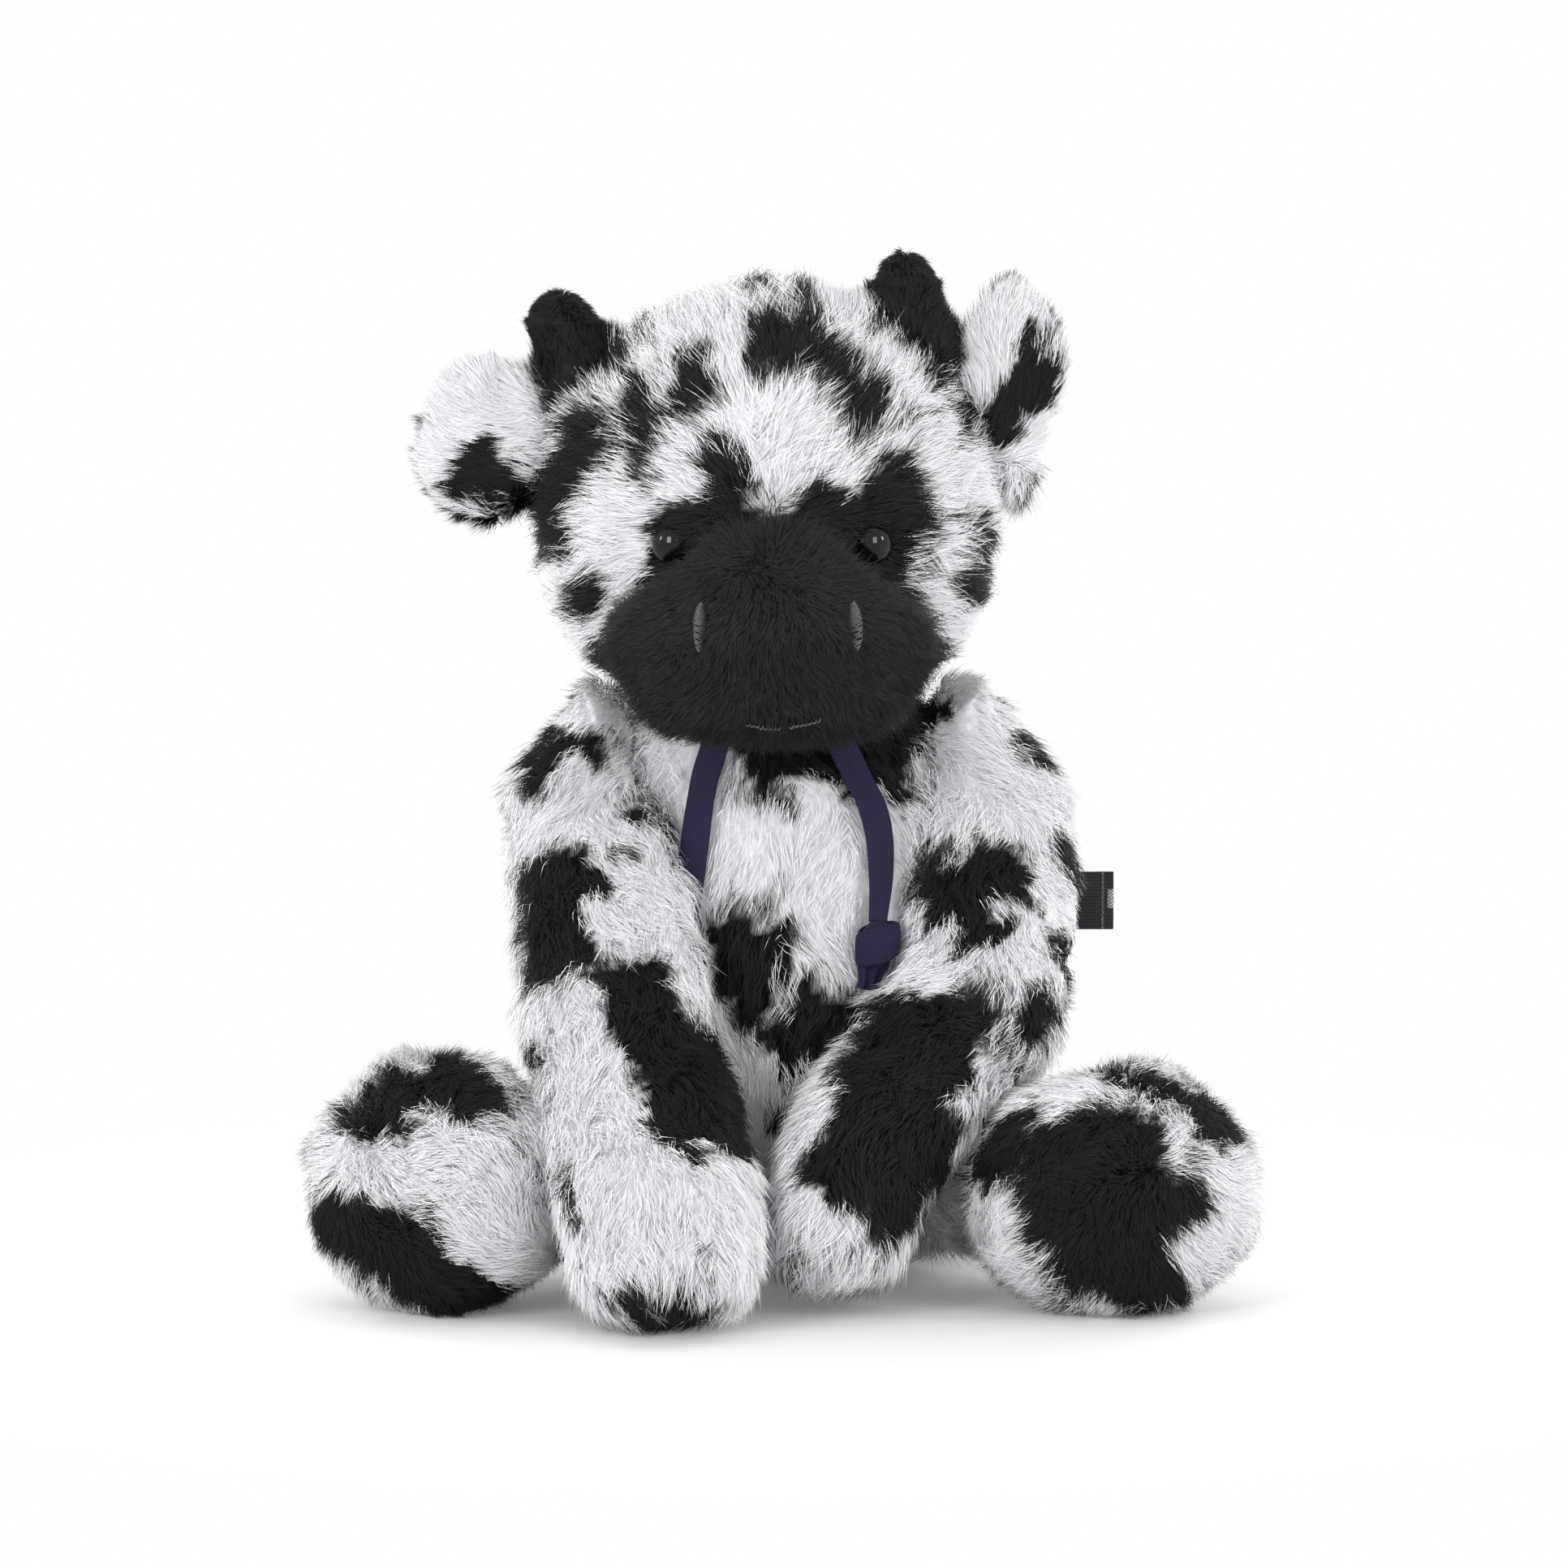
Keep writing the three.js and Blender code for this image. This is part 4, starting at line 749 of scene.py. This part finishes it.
def clear_of_cords(root):
    """The hanging cords and their knots press the body's fur flat."""
    off_cord, off_knot = (lengths((root[:, None] - to)[..., ::2]).min(1) for to in (cord_places, knot_places))
    front = root[:, 1] < -0.015
    off = np.minimum(off_cord, off_knot - 1.6 * MM)
    return ~(front & (off < 2.5 * MM)), np.where(front, 0.4 + 0.6 * ease(0.0035, 0.0095, off), 1.0)


def clear_of_label(root):
    beside = (root[:, 2] > label_low[2] - 3 * MM) & (root[:, 2] < label_high[2] + 2 * MM)
    return np.ones(len(root), bool), np.where(beside, 1 - 0.6 * ease(0.070, 0.076, root[:, 0]), 1.0)


# Flows: which way the fur of a form lies


def away_from(point):
    return lambda places, normals: unit(places - np.array(point) * MM)


def steady(way):
    return lambda places, normals: np.broadcast_to(np.array(way, float), places.shape)


def over_muzzle(places, normals):
    """The muzzle's pile runs down and outward, and up on the bridge."""
    aside = np.clip((places[:, 0] + 4 * MM) / 0.024, -1, 1)
    upward = 1.6 * ease(0.218, 0.236, places[:, 2]) - 0.8
    return np.stack([aside, 0.5 * np.abs(aside), upward], 1)


def over_shoulder(outer, *spine):
    """Fur that runs off the shoulder and then along the arm."""
    fine = catmull(np.array(spine) * MM, 60)
    ways = unit(np.gradient(fine, axis=0))

    def flow(places, normals):
        along = ways[np.argmin(lengths(places[:, None] - fine), axis=1)]
        return mixed(ease(0.146, 0.166, places[:, 2]), along, (outer * 0.8, -0.3, -0.8))

    return flow


def up_the_horn(way, top):
    """Fur that runs up a horn and spreads over its blunt end."""
    def flow(places, normals):
        return mixed(ease(top - 0.006, top + 0.006, places[:, 2]), way, normals * (1, 1, 0) - 0.2 * UP)

    return flow


def right_lobe(root):
    return (1 - ease(0.224, 0.240, root[:, 2])) * ease(-0.101, -0.086, root[:, 0])


def left_lobe(root):
    return 1 - ease(0.240, 0.262, root[:, 2])


def lobed(way, hanging, lobe):
    """Fur along the ear that hangs off its lobe."""
    return lambda places, normals: mixed(lobe(places), way, hanging)


# Longer: how much longer the fur grows at each root


def above(low, high, more):
    return lambda root: 1 + more * ease(low * MM, high * MM, root[:, 2])


def longer_lobe(lobe, more):
    return lambda root: 1 + more * lobe(root)


def cheeks_and_crown(root):
    """Fur that hangs longer over the neck and stands longer on the crown."""
    height = root[:, 2]
    hang = (1 - ease(0.178, 0.212, height)) * ease(0.015, 0.035, np.abs(root[:, 0]))
    return 1 + 0.25 * hang + 0.25 * ease(0.284, 0.3, height)


# Fuller: how far the stuffing swells the cloth at each corner, in millimetres


def full_cheeks(places, normals):
    height, side = places[:, 2], np.abs(places[:, 0])
    cheek = 1.0 * ease(0.196, 0.208, height) * (1 - ease(0.212, 0.226, height))
    return (cheek - 1.5 * (1 - ease(0.186, 0.200, height))) * ease(0.024, 0.045, side)


def back_from_eyes(places, normals):
    return -8.5 * (1 - ease(0.010, 0.026, from_eyes(places)))


def fuller_foot(inner, inner_more, top_less):
    """The foot is slacker on top and outside, and fuller on its inner side."""
    def fuller(places, normals):
        inward = normals[:, 0] * inner
        top = -top_less * ease(0.0, 0.7, normals[:, 2]) - 1.5 * ease(0.2, 0.9, -inward)
        return top + inner_more * ease(0.2, 0.9, inward)

    return fuller


def slack_shoulder(outer, inner_more):
    """The arm's top slopes off outward, and its upper half swells towards the chest."""
    def fuller(places, normals):
        height, outward = places[:, 2], normals[:, 0] * outer
        slope = ease(0.148, 0.174, height) * ease(-0.3, 0.6, outward)
        upper = ease(0.082, 0.104, height) * (1 - ease(0.146, 0.168, height))
        lower = 3.0 * (1 - ease(0.066, 0.09, height)) * ease(0.2, 0.9, -outward)
        return inner_more * upper * ease(0.1, 0.8, -outward) + lower - 7.5 * slope

    return fuller


class Form:
    """A stuffed form: the nodes it stands for, how its skin is made and how its fur grows, in millimetres.

    lean is in degrees from upright. rim is how much longer the fur is along a seam, how far that reaches and how much
    it stands up there. made_up is how many spots there are behind, and size is how large they are, in metres.
    """
    lumps, length, lean, width, tone, turned, rim, made_up = 0.0, 11.0, 57, 0.115, 1.0, 0.0, (0.2, 12, 0), 0
    trim = longer = fuller = gathered = raised = None
    black = swells = False

    def __init__(self, name, **values):
        self.name = name
        kind, _, side = name.partition("_")
        self.nodes = [name, f"{kind}_filling_{side}"]
        self.body = f"{side}_{kind}"
        self.__dict__.update(values)
        self.slot = "black_pile" if self.black else "spotted_fur"


HORN = dict(
    body="head", voxel=1.6, rounds=8, lumps=0.3, count=14000, length=4.6, black=True, fill=0.9, lean=50, width=0.1,
    rim=(1.2, 7, 20), tone=1.3,
)
EAR = dict(voxel=1.6, rounds=6, inset=2.8, lumps=0.6, length=8.6, made_up=2, size=0.013, fill=0.35)
ARM = dict(
    voxel=2.8, rounds=14, lumps=1.4, made_up=7, size=0.016, fill=0.6, longer=above(160, 172, -0.3), swells=True,
)
LEG = dict(voxel=3.0, rounds=8, inset=3.0, lumps=0.6, count=17000, length=10.0, made_up=3, size=0.012, fill=0.6)
FOOT = dict(voxel=2.8, rounds=34, lumps=1.1, count=50000, made_up=5, size=0.016, fill=0.75, swells=True)
FORMS = [
    Form(
        "body", body="torso", nodes=["body_skin", "body_filling", "seat_pellet_bag"], voxel=3.2, rounds=20, inset=3.3,
        lumps=1.4, count=66000, flow=steady((0, -0.1, -1)), longer=above(150, 165, 0.1), trim=clear_of_cords,
        made_up=9, size=0.02, fill=0.7, swells=True,
    ),
    Form(
        "head", body="head", nodes=["head_skin", "head_filling", "eye_washer_left", "eye_washer_right"], voxel=3.0,
        rounds=26, inset=3.0, lumps=1.0, fuller=full_cheeks, count=90000, flow=away_from((-4, -62, 236)),
        longer=cheeks_and_crown, trim=clear_of_eyes, made_up=9, size=0.02, fill=0.8, swells=True,
    ),
    Form(
        "muzzle", body="head", nodes=["muzzle_skin", "muzzle_filling"], voxel=2.4, rounds=30, inset=5.6, lumps=0.5,
        fuller=back_from_eyes, count=64000, length=5.6, flow=over_muzzle, trim=wide_of_eyes, rim=(0.6, 12, 20),
        lean=56, width=0.095, tone=2.2, turned=1.0, black=True, fill=0.85, swells=True,
    ),
    Form(
        "horn_right", **HORN, inset=2.4, flow=up_the_horn((-0.44, 0, 0.9), 0.290), longer=above(290, 302, -0.35),
        gathered=((-66, 266), (0.92, 0.95), (2.0, 0)),
    ),
    Form(
        "horn_left", **HORN, inset=2.6, flow=up_the_horn((-0.17, 0, 1), 0.302), longer=above(302, 314, -0.35),
        gathered=((44, 281), (0.92, 0.96), (-1.0, 0)),
    ),
    Form(
        "ear_right", **EAR, nodes=["ear_outer_right", "ear_lining_right"], count=29000,
        flow=lobed((-0.92, 0, 0.3), (0.5, 0, -1.0), right_lobe), longer=longer_lobe(right_lobe, 0.3),
        rim=(0.4, 10, 10), gathered=((-77, 246), (0.8, 0.88), (0, 5.0), (-1, 0)),
    ),
    Form(
        "ear_left", **EAR, nodes=["ear_outer_left", "ear_lining_left"], count=27000,
        flow=lobed((0.2, 0, 1), (-0.15, 0, -1.0), left_lobe), longer=longer_lobe(left_lobe, 0.4),
        rim=(0.5, 10, 15), gathered=((64, 249), (0.92, 0.87), (-0.8, 6.5)),
    ),
    Form(
        "arm_right", **ARM, inset=3.6, count=52000, fuller=slack_shoulder(-1, 8.5), raised=(4.5, 0, 6.5),
        flow=over_shoulder(
            -1, (-51.1, -7.1, 174.2), (-60.1, -7.1, 155.2), (-52.1, -49.1, 95.2), (-44.1, -81.1, 60.2),
            (-37.1, -106.1, 29.2), (-36.1, -116.1, -0.3),
        ),
    ),
    Form(
        "arm_left", **ARM, inset=4.0, count=50000, fuller=slack_shoulder(1, 2.0), raised=(-6.5, 0, 9.5),
        trim=clear_of_label, flow=over_shoulder(
            1, (51.1, -7.1, 174.2), (60.1, -7.1, 155.2), (61.1, -47.1, 91.2), (41.1, -65.1, 71.2),
            (20.1, -83.1, 35.2), (14.1, -92.1, 7.2),
        ),
    ),
    Form("leg_right", **LEG, flow=steady((-1, -0.6, -0.2))),
    Form("leg_left", **LEG, flow=steady((1, -0.6, -0.2))),
    Form(
        "foot_right", **FOOT, body="right_leg", inset=3.0, fuller=fuller_foot(1, 2.0, 1.4),
        flow=away_from((-108, -66, 44)),
    ),
    Form(
        "foot_left", **FOOT, body="left_leg", inset=3.6, fuller=fuller_foot(-1, 5.0, 3.0),
        flow=away_from((100, -68, 42)),
    ),
    Form(
        "tail", body="tail_body", nodes=["tail"], voxel=1.4, rounds=6, inset=1.8, count=7000, length=4.5,
        flow=steady((0.2, 0.4, -1)), lean=58, width=0.1, black=True, fill=0.5,
    ),
    Form(
        "tail_tuft", body="tail_body", nodes=["tail_tuft"], voxel=1.6, rounds=8, inset=3.4, count=10000, length=12.0,
        flow=steady((0.05, 0.1, -1)), lean=64, black=True, fill=0.4,
    ),
]

SWELL_FRAMES = 20
SWELL_PRESSURE = 4.0
SWELL_LIMIT = 2.2 * MM
HOLD_LEVELS = 10


def swell(forms):
    """The filling presses the skins out as cloth, held along their seams."""
    scene = bpy.context.scene
    scene.frame_set(1)
    for form in forms:
        held = 1 - ease(SEAM_NEAR, SEAM_FAR, form.near)
        group = form.skin.vertex_groups.new(name="held")
        for level in range(1, HOLD_LEVELS + 1):
            members = np.where(np.round(held * HOLD_LEVELS) == level)[0]
            if len(members):
                group.add(members.tolist(), level / HOLD_LEVELS, "REPLACE")
        cloth = form.skin.modifiers.new("cloth", "CLOTH")
        cloth.settings.quality = 4
        cloth.settings.use_pressure = True
        cloth.settings.uniform_pressure_force = SWELL_PRESSURE
        cloth.settings.effector_weights.gravity = 0
        cloth.settings.vertex_group_mass = "held"
        cloth.point_cache.frame_end = SWELL_FRAMES
    for step in range(1, SWELL_FRAMES + 1):
        scene.frame_set(step)
    pressed = [arrays(evaluated(form.skin))[0] for form in forms]
    for form, corners in zip(forms, pressed):
        start, _, _ = arrays(form.skin.data)
        moved = corners - start
        form.skin.modifiers.clear()
        form.skin.vertex_groups.clear()
        move_to(form.skin.data, start + moved * np.minimum(1, SWELL_LIMIT / np.maximum(lengths(moved), 1e-9))[:, None])
    scene.frame_set(1)


for number, form in enumerate(FORMS):
    form.seed = 100 * (number + 1)
    neighbours = [node for other in FORMS if other is not form for node in other.nodes]
    form.skin, form.near = whole(f"{form.name}_cloth", form, neighbours)
    if form.gathered:
        gather(form.skin.data, *form.gathered)
    if form.raised:
        corners, _, _ = arrays(form.skin.data)
        rise = ease(0.150, 0.172, corners[:, 2])[:, None] * np.array(form.raised) * MM
        move_to(form.skin.data, corners + rise)
swell([form for form in FORMS if form.swells])

for form in FORMS:
    form.spots = back_spots(form)
    corners, normals, _ = arrays(form.skin.data)
    share = black_share(form, corners, normals)
    # The skin takes the same spots; its white is painted darker than the white pile, as painted shade under the hair
    paint(form.skin.data, mixed(share, WHITE * 0.9, BLACK * 0.8 * form.tone))
    dress(form.skin, backing_cloth, form.body, form.slot, *form.nodes)
    parts = math.ceil(form.count / PIECE_LIMIT)
    for part in range(parts):
        name = f"{form.name}_fur" + (f"_{part + 1}" if parts > 1 else "")
        grow_fur(name, form, form.count // parts, form.seed + 40 * part + 1)

# Eyes: glossy domes
eye_black, tree = new_material("eye_gloss")
noise = add(tree, "TexNoise", "Fac", {"Vector": add(tree, "TexCoord", "Object"), "Scale": 240})
surface(tree, 0.05, 0.3, ramped(tree, noise, (0, (0.002, 0.0018, 0.0018)), (1, (0.006, 0.005, 0.005))))
EYE_RADIUS = 5.95
EYE_SUNK = 4.2 * MM
DOME = [(EYE_RADIUS * math.cos(a), 1.2 + 3.8 * math.sin(a)) for a in np.linspace(0, math.pi / 2, 14)[:-1]]
EYE_PROFILE = [(0, -3), (2.2, -3), (2.2, -0.1), (5.6, 0), (EYE_RADIUS, 0.4), *DOME, (0, 5.0)]


def turned_piece(name, base, out, profile, sides=48):
    """A lathe round the line that runs out of base, in metres, with the profile in millimetres."""
    u = unit(np.cross(UP, out))
    v = np.cross(out, u)
    turns = [2 * math.pi * side / sides for side in range(sides)]
    corners = [base + out * profile[0][1] * MM]
    for radius, height in profile[1:-1]:
        centre = base + out * height * MM
        corners += [centre + radius * MM * (math.cos(t) * u + math.sin(t) * v) for t in turns]
    corners.append(base + out * profile[-1][1] * MM)
    faces = []
    top = 1 + (len(profile) - 3) * sides
    for side in range(sides):
        beside = (side + 1) % sides
        faces.append((0, 1 + beside, 1 + side))
        for low in range(1, top, sides):
            faces.append((low + side, low + beside, low + sides + beside, low + sides + side))
        faces.append((top + side, top + beside, len(corners) - 1))
    return add_mesh(name, corners, faces)


for side, (centre, out) in EYES.items():
    eye = turned_piece(f"eye_dome_{side}", centre - out * EYE_SUNK, out, EYE_PROFILE)
    dress(eye, eye_black, "head", "eye_gloss", f"eye_{side}")

# Nostrils and mouth: satin threads laid on the muzzle
corners, _, triangles = arrays(bpy.data.objects["muzzle_cloth"].data)
muzzle_tree = BVHTree.FromPolygons([Vector(c) for c in corners], [tuple(int(i) for i in t) for t in triangles])


def on_muzzle(x, z, lift):
    """The point of the muzzle's front at that place, lifted off it, in millimetres."""
    hit, normal, _, _ = muzzle_tree.ray_cast(Vector((x * MM, -0.2, z * MM)), Vector((0, 1, 0)))
    return np.array(hit) + np.array(normal) * lift * MM


def stitches(name, paths, radius, node):
    made = []
    for number, path in enumerate(paths):
        path = np.array(path)
        across = unit(np.cross(unit(path[-1] - path[0]), np.array([0.1, -1.0, 0.2])))
        share = np.linspace(0, 1, len(path))
        thick = radius * MM * np.maximum(0.15, np.sin(math.pi * np.clip(share, 0.04, 0.96)) ** 0.4)
        made.append(carried(f"{name}_{number}", path, across, thick, thick, 2.0, 7))
    dress(joined(name, made), grey_satin, "head", "grey_thread", node)


NOSTRIL_HEIGHT = 206.2
NOSTRIL_HALF = 6.2
MOUTH_HEIGHT = 178.2
STITCH = 1.25
for side, middle, outer_way in (("right", -23.3, -1), ("left", 19.5, 1)):
    threads = []
    for row in np.linspace(-5.9, 5.9, 24):
        bow = math.sqrt(max(0, 1 - (row / NOSTRIL_HALF) ** 2))
        slant = -outer_way * 0.09 * row
        inner = middle + slant - outer_way * 0.9 * bow
        outer = middle + slant + outer_way * 1.9 * bow
        threads.append([
            on_muzzle(
                inner + (outer - inner) * s, NOSTRIL_HEIGHT + row + 0.9 * s,
                1.6 + (1.2 + 1.4 * bow) * math.sin(2.2 * s),
            )
            for s in np.linspace(0, 1, 9)
        ])
    stitches(f"nostril_stitch_{side}", threads, 0.27, f"nostril_{side}")
# The mouth is two short runs of small stitches, half sunk in the pile
runs = []
for start, end in ((-11.0, -1.2), (1.6, 9.5)):
    for at in np.arange(start, end, STITCH):
        runs.append([
            on_muzzle(
                at + 1.5 * s, MOUTH_HEIGHT + 0.012 * (at + 1.5 * s) ** 2 + 0.05 * at + 0.5 * s,
                2.3 + 0.8 * math.sin(math.pi * s),
            )
            for s in np.linspace(0, 1, 7)
        ])
stitches("mouth_thread", runs, 0.26, "mouth_stitch")

# The loop of the cord round the neck, sunk in the fur at its sides
LOOP_DRAWN_IN = 0.88
LOOP_RADIUS = 0.045
loop, _ = whole("neck_loop", Form("neck_loop", nodes=["neck_cord"], voxel=0.8, rounds=4, inset=0.0))
corners, _, _ = arrays(loop.data)
move_to(loop.data, corners * (LOOP_DRAWN_IN, 1, 1))
lay_weave(loop.data, np.stack([corners[:, 2], np.arctan2(corners[:, 1], corners[:, 0]) * LOOP_RADIUS], 1))
dress(loop, navy_weave, "torso", "navy_cord", "neck_cord")

# Label: a ribbon folded back on itself
LABEL_GAP = 0.33
LABEL_STEPS = 20
middle = (label_low + label_high) / 2
tall = label_high[2] - label_low[2]
reach = (label_high[0] - label_low[0]) / MM
outline = [(-0.2 + t * reach / LABEL_STEPS, -LABEL_GAP) for t in range(LABEL_STEPS)]
outline += [
    (reach - 1.0 + LABEL_GAP * math.sin(a), -LABEL_GAP * math.cos(a)) for a in np.linspace(0.2, math.pi - 0.2, 8)
]
outline += [(reach - 1.0 - t * reach / LABEL_STEPS, LABEL_GAP) for t in range(LABEL_STEPS)]
path = np.array([[label_low[0] + (x + 0.4) * MM, middle[1] + y * MM, middle[2]] for x, y in outline])
path[:, 1] += 0.25 * MM * np.sin((path[:, 0] - label_low[0]) * 130)
label = carried("side_label_ribbon", path, UP, tall / 2, 0.14 * MM, 6.0, 24)
dress(label, label_weave, "torso", "label_weave", "side_label")

# On the label, a zigzag seam near the fold and a woven grey band beyond it
SEAM_FROM_FOLD = 3.3 * MM
BAND_FROM_FOLD = 2.8 * MM
ZIGZAGS = 45
fold_at = path[:, 0].max()
seam_x = fold_at - SEAM_FROM_FOLD
zigzags = []
for face in (-1, 1):
    at_seam = np.argmin(np.abs(path[:, 0] - seam_x) + (np.sign(path[:, 1] - middle[1]) != face))
    zig = 0.4 * MM * (-1.0) ** np.arange(ZIGZAGS)
    beside = np.full(ZIGZAGS, path[at_seam, 1] + face * 0.24 * MM)
    line = np.stack([seam_x + zig, beside, label_low[2] + tall * np.linspace(0.02, 0.98, ZIGZAGS)], 1)
    across = np.array([0.2, 1.0, 0.1])
    zigzags.append(carried(f"label_stitch_{face + 1}", line, across, 0.16 * MM, 0.12 * MM, 2.0, 6))
stitch = joined("label_stitch", zigzags)
dress(stitch, white_thread, "torso", "label_weave")
beyond = path[path[:, 0] > fold_at - BAND_FROM_FOLD] + 0.03 * tall * UP
band = carried("label_band", beyond, UP, tall / 6, 0.19 * MM, 6.0, 24)
dress(band, label_grey, "torso", "label_weave")

# Floor: pale, and seen as plain white away from the toy
floor = add_mesh("floor", [(-6, -6, 0), (6, -6, 0), (6, 6, 0), (-6, 6, 0)], [(0, 1, 2, 3)])
white_floor, tree = new_material("white_floor")
surface(tree, 0.9, 0.1, (0.86, 0.86, 0.865, 1))
distance = add(tree, "VectorMath", "Value", {0: add(tree, "TexCoord", "Object")}, operation="LENGTH")
limits = {"From Min": 0.12, "From Max": 0.36, "To Min": 0.12}
far = add(tree, "MapRange", "Result", {"Value": distance, **limits}, interpolation_type="SMOOTHERSTEP")
rays = add(tree, "LightPath", "Is Camera Ray").node.outputs
seen = greatest(tree, rays["Is Camera Ray"], rays["Is Glossy Ray"])
glow_share = add(tree, "Math", "Value", {0: far, 1: seen}, operation="MULTIPLY")
glow = add(tree, "Emission", "Emission", {"Strength": 1.0})
plain = tree.nodes["Principled BSDF"].outputs["BSDF"]
both = add(tree, "MixShader", "Shader", {"Fac": glow_share, 1: plain, 2: glow})
wire(tree.nodes["Material Output"], {"Surface": both})
floor.data.materials.append(white_floor)

# World: plain white, a little weaker as light than as it is seen
world = bpy.data.worlds.new("studio")
bpy.context.scene.world = world
world.use_nodes = True
tree = world.node_tree
rays = add(tree, "LightPath", "Is Camera Ray").node.outputs
through = greatest(tree, rays["Is Glossy Ray"], rays["Is Transmission Ray"])
seen = greatest(tree, rays["Is Camera Ray"], through)
strength = add(tree, "MapRange", "Result", {"Value": seen, "To Min": 0.8, "To Max": 1.0})
wire(tree.nodes["Background"], {"Color": (1, 1, 1, 1), "Strength": strength})


def lamp(name, place, target_height, width, height, power):
    data = bpy.data.lights.new(name, "AREA")
    data.shape = "RECTANGLE"
    data.size, data.size_y = width, height
    data.energy = power
    piece = add_piece(name, data)
    piece.location = place
    piece.rotation_euler = (Vector((0, 0, target_height)) - Vector(place)).to_track_quat("-Z", "Y").to_euler()


lamp("key_left", (-1.1, -1.6, 0.75), 0.15, 0.55, 0.85, 15.5)
lamp("key_right", (1.2, -1.6, 0.65), 0.15, 0.55, 0.85, 12.5)
lamp("side_left", (-1.7, -0.55, 0.75), 0.2, 0.2, 0.36, 5)
lamp("side_right", (1.7, -0.55, 0.7), 0.2, 0.2, 0.36, 5)
lamp("front", (0, -1.9, 0.75), 0.2, 0.12, 0.08, 0.7)
lamp("top", (0, 0.1, 1.9), 0.1, 1.6, 1.4, 7)
lamp("back_left", (-1.3, 1.5, 0.8), 0.15, 0.8, 1.1, 13)
lamp("back_right", (1.3, 1.5, 0.8), 0.15, 0.8, 1.1, 13)
